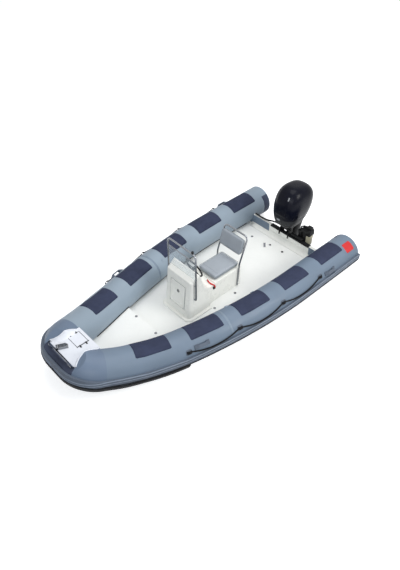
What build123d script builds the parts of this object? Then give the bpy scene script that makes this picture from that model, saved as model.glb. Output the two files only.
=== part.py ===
from build123d import *
import os
from math import atan2, cos, degrees, pi, radians, sin, sqrt, tan

# Rigid inflatable boat, afloat. Millimetres, +X forward, +Y port, +Z up.
# Origin: on the centreline amidships, at the waterline.

GAP = 0.3                 # clearance between pieces that touch
SOFT_GAP = 0.5            # clearance round a soft piece
FIT = 0.05                # radial clearance of a shaft in its bore

# ---- inflatable collar ----
TUBE_R = 240.0            # tube radius
TUBE_Y = 919.0            # tube axis from the centreline, at the stern
TUBE_Z = 250.0            # tube axis above the waterline, aft
STERN_X = -2350.0         # aft end of the tube cylinders
BEND_X = -1171.0          # where the sides start to curve inwards
SIDE_BEND_R = 8855.0      # plan radius of the sides
SIDE_BEND = 20.5          # degrees the sides turn before the bow corner
SIDE_TURNS = 6            # gentle turns that make up the side bend
BOW_BEND_R = 244.0        # plan radius of the bow corners
SHEER_X = 819.0           # the tubes rise forward of here
SHEER = 1.39e-4           # rise per mm squared
SEAM_OFFSET = 200.0       # the side chambers end this far before the bow corner
CAP_LENGTH = 62.0         # dished end caps

# ---- on the collar; distances run along the tube axis from the bow, angles from the tube's top ----
PATCH_FIRST, PATCH_PITCH, PATCH_LENGTH, PATCH_COUNT = 892.0, 787.0, 457.0, 5
PATCH_IN, PATCH_OUT, PATCH_THICK = -37.0, 29.5, 3.0
STRAKE_TOP, STRAKE_LOW, STRAKE_PROUD = 80.0, 103.0, 34.0
GUARD_LOW, GUARD_PROUD = 122.0, 46.0      # black bow guard, under the strake
GUARD_END = 1573.0
TAB_DISTANCES = (1553.0, 2333.0, 3097.0, 3871.0)
TAB_ANGLE, TAB_LOOP, TAB_HIGH = 62.0, 44.0, 20.0
ROPE_R, ROPE_SAG, ROPE_STEPS, ROPE_END = 6.0, 15.0, 8, 2.1
HANDLES = ((1752.0, 55.0), (4090.0, 66.0))
HANDLE_LENGTH, HANDLE_WIDTH, HANDLE_HIGH = 220.0, 46.0, 42.0
VALVES = ((2372.0, -42.0), (2876.0, -54.0))
VALVE_R, VALVE_HIGH = 27.0, 9.0

# ---- hull ----
KEEL_Z, KEEL_BEND_X, KEEL_RISE = -270.0, 800.0, 1.89e-4
CHINE_BEND_X, CHINE_RISE = 600.0, 0.98e-4
CHINE_INSET, CHINE_FLAT = 119.0, 45.0     # chine inboard of the tube axis, and its flat
RAIL_SHARES, RAIL_WIDTH = (0.36, 0.66), 30.0
DECK_Z = 60.0             # cockpit sole, and the flange the collar sits on
TRANSOM_X, TRANSOM_THICK, TRANSOM_TOP = -1950.0, 50.0, 250.0
STEM_X, STEM_HALF = 2150.0, 100.0
HULL_STATIONS = (TRANSOM_X, -1170.0, -300.0, 300.0, 819.0, 1150.0, 1450.0, 1720.0, 1950.0)
PLATFORM_Z, PLATFORM_AFT, PLATFORM_FRONT = 190.0, 905.0, 1790.0
CAP_Z = 6.0               # thickness of the black cap on the transom
CAP_STARBOARD, CAP_PORT = -290.0, 510.0
GUSSET_STARBOARD, GUSSET_PORT, GUSSET_THICK = -320.0, 455.0, 5.0

# ---- moulded nose ----
NOSE_TOP, NOSE_BASE = 600.0, 420.0
NOSE_AFT, NOSE_FRONT = 1795.0, 2205.0
NOSE_HALF, NOSE_FLARE, NOSE_FLARE_X = 220.0, 300.0, 2020.0
VALLEY_R, VALLEY_LENGTH, VALLEY_TURN = 1500.0, 600.0, 26.0    # tube top shaved ahead of the nose
BULKHEAD = 40.0           # wall between the nose and the platform
SKIN = 20.0               # wall of the mouldings
LID_AFT, LID_LENGTH, LID_THICK, LID_GAP = 1835.0, 170.0, 12.0, 6.0
LID_STARBOARD, LID_PORT = -185.0, 35.0
LOCKER_DEPTH = 150.0
HINGE_LIFT, HINGE_LENGTH = 2.0, 36.0      # hinge barrels stand this far out of a face
TRIM_R, TRIM_X = 9.0, 2234.0
ROLLER_X, ROLLER_Y, ROLLER_TURN = 2138.0, -98.0, -27.0
ROLLER_LENGTH, ROLLER_WIDTH, ROLLER_HIGH = 150.0, 66.0, 34.0

# ---- console and seat moulding ----
CONSOLE_FRONT, CONSOLE_AFT, CONSOLE_HALF = 375.0, -40.0, 262.0
CONSOLE_RAKE = 70.0       # the front face leans aft by this over its height
HOOD_FRONT_Z = 720.0      # top of the front face
HOOD_X, HOOD_Z = 185.0, 812.0             # crest of the hood
DASH_TOP_X, DASH_TOP_Z = 150.0, 795.0
DASH_FOOT_X, DASH_FOOT_Z = 60.0, 500.0
SHELF_Z = 430.0
CORNER_R = 45.0
PLINTH, PLINTH_OUT = 22.0, 45.0
DOOR_HALF, DOOR_LOW, DOOR_HIGH = 165.0, 190.0, 610.0
DOOR_THICK, DOOR_GAP = 14.0, 6.0
SEAT_AFT, SEAT_HALF, SEAT_TOP = -735.0, 215.0, 385.0
LID_FRONT, LID_PLATE = -198.0, 14.0       # seat lid, hinged along its front edge
CUSHION_HALF, CUSHION_THICK = 192.0, 74.0

# ---- stainless work ----
PIPE_R = 12.5
SCREEN_X, SCREEN_TOP, SCREEN_FOOT, SCREEN_STAY = 232.0, 1190.0, 410.0, 660.0
SCREEN_RAKE = 18.0
SCREEN_BAR, GLASS = 1068.0, 5.0
SCREEN_BAR_R, STAY_R = 7.0, 8.0
FRAME_OUT, STAY_REACH = 4.0, 10.0         # screen frame clear of the console, and the feet past it
FRAME_BEND, FRAME_FOOT_BEND = 60.0, 12.0
GLASS_LAP = 20.0          # foot of the windscreen above the console's front face
LIGHT_IN, LIGHT_R, LIGHT_HIGH = 62.0, 17.0, 30.0
REST_FOOT_X, REST_FOOT_Z = -640.0, 90.0
REST_BEND_X, REST_BEND_Z = -665.0, 490.0
REST_TOP_X, REST_TOP_Z = -815.0, 905.0
REST_BAR_R = 10.0
PAD_LOW, PAD_HIGH, PAD_THICK, PAD_HALF = 610.0, 860.0, 50.0, 200.0

# ---- helm ----
WHEEL_R, RIM_R, WHEEL_REACH = 148.0, 12.0, 96.0   # rim plane this far from the dash
HUB_R, HUB_HIGH = 38.0, 58.0
BOSS_R, SPOKE_ANGLES, SPOKE_HALF = 26.0, (30.0, 150.0, 270.0), 13.0
SPOKE_FRONT, SPOKE_BACK = 10.0, 2.0       # the spokes lie this far in front of the rim plane
GAUGE_R, GAUGE_HIGH, GAUGE_UP = 43.0, 9.0, 85.0
GAUGE_Y = (-190.0, -85.0, 85.0, 190.0)
LEVER_Y, LEVER_X, LEVER_HIGH = -194.0, -8.0, 140.0
LEVER_BOX = (-95.0, 25.0, 28.0, 60.0)     # throttle box: along the dash, half width, height
LEVER_THICK, LEVER_HALF, LEVER_SINK = 12.0, 8.0, 10.0
LEVER_KNOB_R, LEVER_KNOB = 16.0, 56.0

# ---- deck gear ----
EYE_R, EYE_WALL, EYE_THICK, EYE_Z = 11.0, 14.0, 12.0, 150.0
STERN_EYE_Y, STERN_EYE_Z = 560.0, 120.0
CHEEK_FOOT = 20.0         # lower end of the engine bracket
BUTTON_R, BUTTON_HIGH = 20.0, 4.0
BUTTONS = ((930.0, 215.0, PLATFORM_Z), (930.0, -215.0, PLATFORM_Z), (-70.0, 330.0, DECK_Z),
           (-510.0, 312.0, DECK_Z), (-1730.0, -89.0, DECK_Z), (-1739.0, 164.0, DECK_Z),
           (-1677.0, -445.0, DECK_Z))     # x, y, deck height
EYE_PLATE, EYE_PLATE_HALF, TOW_DROP, STERN_DROP = 6.0, 20.0, 45.0, 40.0
EYE_LIFT = 2.0            # the eye's ring stands clear of its plate by this
MAT_X, MAT_Y, MAT_TURN = -1662.0, -150.0, 43.0     # drain plate in the sole
MAT_LENGTH, MAT_WIDTH, MAT_THICK = 110.0, 34.0, 4.0
CABLE_R = 13.0
# control points of the cable up to the end of the tilt tube
CABLE_ROUTE = ((-1972.0, -655.0, 275.0), (-1970.0, -520.0, 272.0), (-1972.0, -400.0, 276.0),
               (-1984.0, -300.0, 306.0))
CABLE_LAST_Y = -200.0
FILTER_Y, FILTER_R, FILTER_LOW, FILTER_HIGH = 388.0, 66.0, 170.0, 335.0
FILTER_BACK, FILTER_ROUND = 8.0, 22.0     # room behind the canister for its bracket
HEAD_IN, HEAD_OUT, HEAD_HIGH = 120.0, 45.0, 100.0
BRACKET_HALF, BRACKET_LOW, BRACKET_LAP = 60.0, 100.0, 10.0
SWITCH_AFT, SWITCH_FRONT, SWITCH_OUT = -185.0, -145.0, 14.0
SWITCH_LOW, SWITCH_HIGH = 315.0, 355.0

# ---- engine ----
STEER_X = -2105.0         # steering axis
TILT_X, TILT_Z, TILT_R = -1990.0, 325.0, 16.0
EAR_R, EAR_HALF = 28.0, 76.0
CHEEK_Y, CHEEK_THICK, CHEEK_R = 88.0, 14.0, 34.0
HOOK_REACH, HOOK_TOP, HOOK_LOW = 26.0, 290.0, 190.0
CLAMP = 8.0               # clearance between the hook and the transom
SPINE_R, KINGPIN_R, ARM_R = 42.0, 25.0, 36.0
ARM_TOP, ARM_LOW, ARM_THICK, ARM_GAP = 345.0, -60.0, 24.0, 5.0
LEG_SETBACK, LEG_TOP, LEG_WAIST = 52.0, 372.0, 60.0    # front of the leg behind the steering axis
LEG_TOP_SIZE, LEG_WAIST_SIZE, LEG_FOOT_SIZE = (205.0, 180.0), (170.0, 110.0), (190.0, 80.0)
ARM_HALF, ARM_IN, ARM_OUT = 30.0, 60.0, 15.0
PLATE_Z, PLATE_THICK, PLATE_HALF, PLATE_ROUND = -250.0, 8.0, 100.0, 60.0
PLATE_AFT, PLATE_LAP = 110.0, 10.0
PROP_X, PROP_Z, PROP_R = -2330.0, -430.0, 165.0
PROP_PITCH, BLADES = 380.0, 3
SHAFT_R, HUB_RADIUS, HUB_LENGTH = 14.0, 46.0, 78.0
CASE_R, CASE_LENGTH, CASE_NOSE = 52.0, 300.0, 2.0      # the nose is a sphere stretched this much
STRUT_AFT, STRUT_FRONT, STRUT_HALF = 20.0, 190.0, 18.0
# skeg outline: forward of the propeller's front face, and below its axis
SKEG, SKEG_HALF = ((260.0, 0.0), (60.0, 0.0), (50.0, 190.0), (120.0, 190.0)), 6.0
NUT_R, NUT_LAP, NUT_END = 22.0, 1.0, 16.0
SHAFT_LAP, SHAFT_END = 5.0, 14.0
COWL_WALL, COWL_ROUND, PAN_TOP = 8.0, 30.0, 500.0
POWER_AFT, POWER_FRONT, POWER_HALF, POWER_HIGH = -2330.0, -1870.0, 120.0, 335.0
# z, front x, aft x, half width, corner radius
PAN_ROWS = ((LEG_TOP + GAP, -1950.0, -2320.0, 112.0, 80.0), (440.0, -1830.0, -2345.0, 175.0, 130.0),
            (PAN_TOP, -1792.0, -2370.0, 205.0, 150.0))
COWL_ROWS = ((PAN_TOP + GAP, -1784.0, -2376.0, 211.0, 155.0), (700.0, -1766.0, -2388.0, 225.0, 165.0),
             (930.0, -1778.0, -2384.0, 222.0, 160.0), (1060.0, -1845.0, -2315.0, 186.0, 130.0),
             (1125.0, -1930.0, -2230.0, 125.0, 90.0))


def sheer(x):
    """Height of the tube axis at a station."""
    return TUBE_Z + SHEER * max(0.0, x - SHEER_X) ** 2


def side_corners():
    """Corner points of the port tube's axis, from the stern to the bow corner."""
    step = radians(SIDE_BEND / SIDE_TURNS)
    reach = SIDE_BEND_R * tan(step / 2)
    x, y, heading = BEND_X, TUBE_Y, 0.0
    points = [Vector(STERN_X, TUBE_Y, TUBE_Z)]

    def corner(reach):
        """Corner on the tangents of the plan and of the sheer."""
        slope = 2 * SHEER * max(0.0, x - SHEER_X)
        run = reach * cos(heading)
        return Vector(x + run, y - reach * sin(heading), sheer(x) + slope * run)

    for _ in range(SIDE_TURNS):
        points.append(corner(reach))
        x, y = points[-1].X, points[-1].Y
        heading += step
        x, y = x + reach * cos(heading), y - reach * sin(heading)
    points.append(corner(BOW_BEND_R * tan(radians(90 - SIDE_BEND) / 2)))
    return points


def smooth_path(points, last_radius=None):
    """Straight runs joined by tangent arcs, each as large as its runs allow."""
    radii = []
    for before, here, after in zip(points, points[1:], points[2:]):
        turn = (here - before).get_angle(after - here)
        run = min((here - before).length, (after - here).length)
        radii.append(0.45 * run / tan(radians(turn / 2)))
    if last_radius:
        radii[-1] = last_radius
    return FilletPolyline(*points, radius=radii)


CORNERS = side_corners()
BOW_CORNER = CORNERS[-1]
SEAM = BOW_CORNER + (CORNERS[-2] - BOW_CORNER).normalized() * SEAM_OFFSET
HALF_PATH = smooth_path(CORNERS + [Vector(BOW_CORNER.X, 0, BOW_CORNER.Z)], BOW_BEND_R)


def export(shape, node):
    export_step(shape, f"parts/{node}.step")


def mirrored(shape):
    return shape.mirror(Plane.XZ)


def group(*shapes):
    """Several pieces that don't touch, as one node."""
    return Compound(children=[solid for shape in shapes for solid in shape.solids()])


def both(*shapes):
    """Port pieces and their starboard twins, as one node."""
    return group(*shapes, *[mirrored(shape) for shape in shapes])


def largest(shape):
    """The main solid of a cut piece, without the slivers beyond the collar."""
    return max(shape.solids(), key=lambda solid: solid.volume)


def block(x, y, z):
    """Box from its (low, high) pairs."""
    size = [high - low for low, high in (x, y, z)]
    middle = [(high + low) / 2 for low, high in (x, y, z)]
    return Pos(*middle) * Box(*size)


def rod(start, end, radius):
    start, end = Vector(*start), Vector(*end)
    run = end - start
    return extrude(Plane(origin=start, z_dir=run) * Circle(radius), run.length)


def pipe(points, radii, radius=PIPE_R):
    """Round bar along straight runs with bent corners."""
    start, run = Vector(*points[0]), Vector(*points[1]) - Vector(*points[0])
    return sweep(Plane(origin=start, z_dir=run) * Circle(radius),
                 path=FilletPolyline(*points, radius=radii))


def profile(points, half):
    """Side outline in x and z, extruded half each way across the boat."""
    return extrude(Plane.XZ * make_face(Polyline(*points, close=True)), half, both=True)


# ---------------------------------------------------------------- collar

def along(start, end):
    """Section plane at start, looking along the run, with its x outboard and y up."""
    run = (end - start).normalized()
    return Plane(origin=start, x_dir=Vector(0, 0, 1).cross(run), z_dir=run)


def side_sweep(section):
    """Sweep a section drawn about the tube axis from the stern to the bow seam."""
    points = CORNERS[:-1] + [SEAM]
    return sweep(along(points[0], points[1]) * section, path=smooth_path(points))


def bow_sweep(section, extra=0.0):
    """Sweep a section round the bow, from one seam to the other."""
    aft = SEAM + (CORNERS[-2] - SEAM).normalized() * extra
    points = [aft, BOW_CORNER] + [Vector(p.X, -p.Y, p.Z) for p in (BOW_CORNER, aft)]
    path = FilletPolyline(*points, radius=BOW_BEND_R)
    return sweep(along(points[0], points[1]) * section, path=path)


def sector(inner, outer, start, stop):
    """Ring sector between two angles from the top, positive outboard."""
    def at(radius, angle):
        return (radius * sin(radians(angle)), radius * cos(radians(angle)))
    middle = (start + stop) / 2
    return make_face(ThreePointArc(at(outer, start), at(outer, middle), at(outer, stop))
                     + Line(at(outer, stop), at(inner, stop))
                     + ThreePointArc(at(inner, stop), at(inner, middle), at(inner, start))
                     + Line(at(inner, start), at(outer, start)))


def on_tube(distance, angle, lift=0.0):
    """Plane on the port tube's skin: x forward along it, z out of it."""
    spot = HALF_PATH.length - distance
    axis = HALF_PATH.position_at(spot, position_mode=PositionMode.LENGTH)
    forward = HALF_PATH.tangent_at(spot, position_mode=PositionMode.LENGTH)
    outboard = Vector(0, 0, 1).cross(forward).normalized()
    normal = outboard * sin(radians(angle)) + forward.cross(outboard) * cos(radians(angle))
    return Plane(origin=axis + normal * (TUBE_R + lift), x_dir=forward, z_dir=normal)


def slab(distance, length):
    """Block that keeps a length of the port side, starting at a distance from the bow."""
    return on_tube(distance + length / 2, 0, -TUBE_R) * Box(length, 3 * TUBE_R, 3 * TUBE_R)


TUBE_SPACE = [side_sweep(Circle(TUBE_R + GAP)), bow_sweep(Circle(TUBE_R + GAP), extra=5.0)]
TUBE_SPACE.append(mirrored(TUBE_SPACE[0]))


def cut_by_tubes(shape):
    for cutter in TUBE_SPACE:
        shape = shape - cutter
    return shape


def dished_cap():
    """Shallow dished end of a tube, with its rim in the plane z = 0."""
    dish_r = (TUBE_R ** 2 + CAP_LENGTH ** 2) / (2 * CAP_LENGTH)
    ball = Pos(0, 0, CAP_LENGTH - dish_r) * Sphere(dish_r)
    return ball & Pos(0, 0, dish_r) * Box(3 * TUBE_R, 3 * TUBE_R, 2 * dish_r)


def nose_outline(extra=0.0):
    """Plan of the moulded nose: straight sides that flare towards the front edge."""
    half, flare = NOSE_HALF + extra, NOSE_FLARE + extra
    aft, front = NOSE_AFT - extra, NOSE_FRONT + extra
    port = Curve() + [Line((aft, half), (NOSE_FLARE_X, half)),
                      TangentArc((NOSE_FLARE_X, half), (front, flare), tangent=(1, 0))]
    edges = list(port.edges()) + [edge.mirror(Plane.XZ) for edge in port.edges()]
    edges += [Line((aft, -half), (aft, half)), Line((front, -flare), (front, flare))]
    return make_face(Curve() + edges)


def make_collar():
    column = extrude(Pos(0, 0, NOSE_BASE) * nose_outline(GAP), NOSE_TOP)
    valley = Pos(0, 0, VALLEY_R) * Rot(0, 90, 0) * Cylinder(VALLEY_R, VALLEY_LENGTH)
    nose_space = column + Pos(NOSE_FRONT, 0, NOSE_TOP - SKIN) * Rot(0, VALLEY_TURN, 0) * valley
    port = side_sweep(Circle(TUBE_R)) - nose_space
    cap = Plane(CORNERS[0], x_dir=(0, 1, 0), z_dir=(-1, 0, 0)) * dished_cap()
    band = sector(TUBE_R + GAP, TUBE_R + STRAKE_PROUD, STRAKE_TOP, STRAKE_LOW)
    strake = side_sweep(band)
    strip = side_sweep(sector(TUBE_R + GAP, TUBE_R + GAP + PATCH_THICK, PATCH_IN, PATCH_OUT))
    patches = group(*[strip & slab(PATCH_FIRST + i * PATCH_PITCH, PATCH_LENGTH)
                      for i in range(PATCH_COUNT)])
    for shape, node in ((port, "tube"), (cap, "end_cap"), (strake, "strake"), (patches, "patches")):
        export(shape, f"{node}_port")
        export(group(*[mirrored(solid) for solid in shape.solids()]), f"{node}_starboard")
    export(bow_sweep(Circle(TUBE_R)) - nose_space, "tube_bow")
    export(bow_sweep(band), "strake_bow")

    lower = sector(TUBE_R + GAP, TUBE_R + GUARD_PROUD, STRAKE_LOW, GUARD_LOW)
    seam = HALF_PATH.length - smooth_path(CORNERS[:-1] + [SEAM]).length
    side = largest(side_sweep(lower) & slab(seam - 100, GUARD_END - seam + 100))
    export(bow_sweep(lower) + side + mirrored(side), "bow_guard")


def make_fittings():
    """Rope tabs, lifelines, carry handles and inflation valves."""
    skin = Pos(0, 0, -TUBE_R) * Rot(0, 90, 0) * Cylinder(TUBE_R + GAP, 2 * HANDLE_LENGTH)
    tabs = []
    for distance in TAB_DISTANCES:
        tab = Box(90, 60, 6) + Pos(0, 0, TAB_HIGH / 2) * Box(TAB_LOOP, 30, TAB_HIGH)
        tabs.append(on_tube(distance, TAB_ANGLE) * largest(tab - skin))
    export(both(*tabs), "rope_tabs")

    swags = []
    for start, end in zip(TAB_DISTANCES, TAB_DISTANCES[1:]):
        start, end = start + TAB_LOOP / 2 + ROPE_END, end - TAB_LOOP / 2 - ROPE_END
        points = []
        for k in range(ROPE_STEPS + 1):
            share = k / ROPE_STEPS
            drop = ROPE_SAG * (1 - (2 * share - 1) ** 2)
            spot = on_tube(start + (end - start) * share, TAB_ANGLE + drop, TAB_HIGH / 2 + 2)
            points.append(spot.origin)
        path = smooth_path(points)
        swags.append(sweep(Plane(origin=points[0], z_dir=points[1] - points[0]) * Circle(ROPE_R),
                           path=path))
        bends = [edge.radius for edge in path.edges() if edge.geom_type == GeomType.CIRCLE]
        print("lifeline swag", round(path.length), "mm, least bend radius", round(min(bends)))
    export(group(*swags), "lifeline_port")
    export(group(*[mirrored(swag) for swag in swags]), "lifeline_starboard")

    handles = []
    for distance, angle in HANDLES:
        half, foot = HANDLE_LENGTH / 2, 50.0
        arch = make_face(Polyline((-half, 0), (-half, 10), (-half + foot, HANDLE_HIGH),
                                  (half - foot, HANDLE_HIGH), (half, 10), (half, 0), (half - foot, 0),
                                  (half - foot - 12, HANDLE_HIGH - 16),
                                  (-half + foot + 12, HANDLE_HIGH - 16), (-half + foot, 0), close=True))
        body = extrude(Plane.XZ * arch, HANDLE_WIDTH / 2, both=True)
        body = body + block((-half, -half + foot), (-HANDLE_WIDTH / 2 - 8, HANDLE_WIDTH / 2 + 8), (-6, 8))
        body = body + block((half - foot, half), (-HANDLE_WIDTH / 2 - 8, HANDLE_WIDTH / 2 + 8), (-6, 8))
        handles.append(on_tube(distance, angle) * largest(body - skin))
    export(both(*handles), "carry_handles")

    valve = largest(Cylinder(VALVE_R, 2 * VALVE_HIGH) - skin)
    valves = [on_tube(distance, angle) * valve for distance, angle in VALVES]
    export(both(*valves), "valves")


# ---------------------------------------------------------------- hull

def plan_y(x):
    """Distance of the tube axis from the centreline at a station on the sides."""
    if x < BEND_X:
        return TUBE_Y
    return TUBE_Y - SIDE_BEND_R + sqrt(SIDE_BEND_R ** 2 - (x - BEND_X) ** 2)


def keel_z(x):
    return KEEL_Z + KEEL_RISE * max(0.0, x - KEEL_BEND_X) ** 2


def chine_z(x):
    return CHINE_RISE * max(0.0, x - CHINE_BEND_X) ** 2


def hull_section(x, half, top):
    """V bottom with two spray rails a side and a flat chine, up to a level top."""
    keel, chine = keel_z(x), chine_z(x)
    scale_here = half / (TUBE_Y - CHINE_INSET)
    side = [(0, keel)]
    for share in RAIL_SHARES:
        y, z = half * share, keel + (chine - keel) * share
        side += [(y, z), (y + RAIL_WIDTH * scale_here, z)]
    flat = CHINE_FLAT * scale_here
    side += [(half - flat, chine), (half, chine), (half, top)]
    corners = side + [(-y, z) for y, z in reversed(side[1:])]
    return Plane(origin=(x, 0, 0), x_dir=(0, 1, 0), z_dir=(1, 0, 0)) * make_face(
        Polyline(*corners, close=True))


def make_hull():
    drop = TUBE_Z - DECK_Z
    sections = [hull_section(x, plan_y(x) - CHINE_INSET, sheer(x) - drop) for x in HULL_STATIONS]
    sections.append(hull_section(STEM_X, STEM_HALF, sheer(BOW_CORNER.X) - drop))
    hull = largest(cut_by_tubes(loft(sections, ruled=True)))
    export(hull, "hull")

    edge = CHINE_INSET + 1
    xs = (PLATFORM_AFT, (PLATFORM_AFT + PLATFORM_FRONT) / 2, PLATFORM_FRONT)
    port = [(x, plan_y(x) - edge) for x in xs]
    outline = make_face(Polyline(*port, *[(x, -y) for x, y in reversed(port)], close=True))
    platform = extrude(Pos(0, 0, DECK_Z) * outline, PLATFORM_Z - DECK_Z)
    export(largest(cut_by_tubes(platform) - hull), "forward_platform")

    half = plan_y(TRANSOM_X) - CHINE_INSET
    section = hull_section(TRANSOM_X, half, TRANSOM_TOP)
    export(largest(cut_by_tubes(extrude(section, -TRANSOM_THICK))), "transom")
    return hull


def make_transom_trim():
    aft = TRANSOM_X - TRANSOM_THICK
    cap = block((aft - CAP_Z, TRANSOM_X + CAP_Z), (CAP_STARBOARD, CAP_PORT),
                (TRANSOM_TOP - 22, TRANSOM_TOP + CAP_Z))
    cap = cap - block((aft - GAP, TRANSOM_X + GAP), (CAP_STARBOARD - 1, CAP_PORT + 1),
                      (TRANSOM_TOP - 30, TRANSOM_TOP + GAP))
    bracket = block((aft - CAP_Z - 1, aft + 1), (-CHEEK_Y - CHEEK_THICK, CHEEK_Y + CHEEK_THICK),
                    (TRANSOM_TOP - 30, TRANSOM_TOP + CAP_Z + 1))
    export(cap - bracket, "transom_cap")

    front = (TRANSOM_X + GAP, TRANSOM_X + GAP + GUSSET_THICK)
    high = (DECK_Z + 20, TRANSOM_TOP)
    port = cut_by_tubes(block(front, (max(GUSSET_PORT, CAP_PORT + 5), TUBE_Y), high))
    starboard = cut_by_tubes(block(front, (-TUBE_Y, GUSSET_STARBOARD), high))
    export(group(largest(port), largest(starboard)), "transom_gussets")


# ---------------------------------------------------------------- nose

def hinge_leaf(gap):
    """Barrel that fills the gap round a lid, with its leaf on the lid, which lies towards -y."""
    barrel = Pos(0, 0, HINGE_LIFT) * Rot(0, 90, 0) * Cylinder(gap / 2 - GAP, HINGE_LENGTH)
    leaf = Pos(0, -gap, HINGE_LIFT / 2) * Box(HINGE_LENGTH, 2 * gap, HINGE_LIFT + 1)
    return barrel + leaf


def make_nose(hull):
    step = extrude(Pos(0, 0, NOSE_BASE) * nose_outline(), NOSE_TOP - NOSE_BASE)
    bulkhead = block((NOSE_AFT, NOSE_AFT + BULKHEAD), (-NOSE_HALF, NOSE_HALF), (PLATFORM_Z, NOSE_BASE))
    step = step + largest(cut_by_tubes(bulkhead) - hull)
    lid_x = (LID_AFT, LID_AFT + LID_LENGTH)
    lid_y = (LID_STARBOARD, LID_PORT)
    step = step - block(lid_x, lid_y, (NOSE_TOP - LID_THICK, NOSE_TOP + 1))
    step = step - block([x + s * SKIN for x, s in zip(lid_x, (1, -1))],
                        [y + s * SKIN for y, s in zip(lid_y, (1, -1))],
                        (NOSE_TOP - LOCKER_DEPTH, NOSE_TOP + 1))
    export(step, "nose_step")
    lid = block([x + s * LID_GAP for x, s in zip(lid_x, (1, -1))],
                [y + s * LID_GAP for y, s in zip(lid_y, (1, -1))],
                (NOSE_TOP - LID_THICK + GAP, NOSE_TOP + GAP))
    for x in (LID_AFT + 35, LID_AFT + LID_LENGTH - 35):
        lid = lid + Pos(x, LID_PORT - LID_GAP / 2, NOSE_TOP) * hinge_leaf(LID_GAP)
    export(lid, "locker_lid")

    trim_z = NOSE_TOP + TRIM_R + GAP
    export(rod((TRIM_X, -NOSE_FLARE + 45, trim_z), (TRIM_X, NOSE_FLARE - 45, trim_z), TRIM_R), "nose_trim")

    half = ROLLER_WIDTH / 2
    roller = block((-ROLLER_LENGTH / 2, ROLLER_LENGTH / 2), (-half, half), (0, 5))
    cheek = make_face(Polyline((-ROLLER_LENGTH / 2, 0), (-ROLLER_LENGTH / 2 + 30, ROLLER_HIGH),
                               (ROLLER_LENGTH / 2, ROLLER_HIGH), (ROLLER_LENGTH / 2, 0), close=True))
    for y in (-half + 2, half - 2):
        roller = roller + Pos(0, y, 0) * extrude(Plane.XZ * cheek, 2, both=True)
    pin_x = ROLLER_LENGTH / 2 - 22
    roller = roller + rod((pin_x, -half, 20), (pin_x, half, 20), 13)
    place = Pos(ROLLER_X, ROLLER_Y, NOSE_TOP + GAP) * Rot(0, 0, ROLLER_TURN)
    export(place * roller, "bow_roller")


# ---------------------------------------------------------------- console and seat

def make_console():
    outer = [(CONSOLE_FRONT, DECK_Z), (CONSOLE_FRONT - CONSOLE_RAKE, HOOD_FRONT_Z), (HOOD_X, HOOD_Z),
             (DASH_TOP_X, DASH_TOP_Z), (DASH_FOOT_X, DASH_FOOT_Z), (CONSOLE_AFT, SHELF_Z),
             (CONSOLE_AFT, DECK_Z)]
    body = profile(outer, CONSOLE_HALF)
    uprights = body.edges().filter_by(lambda edge: abs(edge.tangent_at(0.5).Y) < 0.1
                                      and edge.center().X > HOOD_X - 10)
    body = fillet(uprights, CORNER_R)
    solid_console = body
    t = SKIN
    inner = [(CONSOLE_FRONT - t, DECK_Z + t), (CONSOLE_FRONT - CONSOLE_RAKE - t, HOOD_FRONT_Z - t),
             (HOOD_X, HOOD_Z - 2 * t), (DASH_TOP_X + t, DASH_TOP_Z - 2 * t),
             (DASH_FOOT_X + t, DASH_FOOT_Z - t), (CONSOLE_AFT + t, SHELF_Z - t),
             (CONSOLE_AFT + t, DECK_Z + t)]
    body = body - profile(inner, CONSOLE_HALF - t)
    height = HOOD_FRONT_Z - DECK_Z
    door_z = (DOOR_LOW + DOOR_HIGH) / 2
    door_x = CONSOLE_FRONT - CONSOLE_RAKE * (door_z - DECK_Z) / height
    face = Location((door_x, 0, door_z), (0, -degrees(atan2(CONSOLE_RAKE, height)), 0))
    body = body - face * Box(4 * t, 2 * DOOR_HALF, DOOR_HIGH - DOOR_LOW)
    plinth = block((CONSOLE_AFT, CONSOLE_FRONT + PLINTH_OUT),
                   (-CONSOLE_HALF - PLINTH_OUT, CONSOLE_HALF + PLINTH_OUT), (DECK_Z, DECK_Z + PLINTH))
    plinth = fillet(plinth.edges().filter_by(Axis.Z).group_by(Axis.X)[-1], CORNER_R + PLINTH_OUT)
    plinth = fillet(plinth.faces().sort_by(Axis.Z)[-1].edges(), PLINTH / 2)
    body = body + (plinth - solid_console)
    export(body, "console")

    door = face * block((-DOOR_THICK, 0), (-DOOR_HALF + DOOR_GAP, DOOR_HALF - DOOR_GAP),
                        ((DOOR_LOW - DOOR_HIGH) / 2 + DOOR_GAP, (DOOR_HIGH - DOOR_LOW) / 2 - DOOR_GAP))
    for z in (-130, 130):
        door = door + face * Pos(0, -DOOR_HALF + DOOR_GAP / 2, z) * Rot(180, 90, 0) * hinge_leaf(DOOR_GAP)
    export(door, "console_door")
    return solid_console


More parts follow.
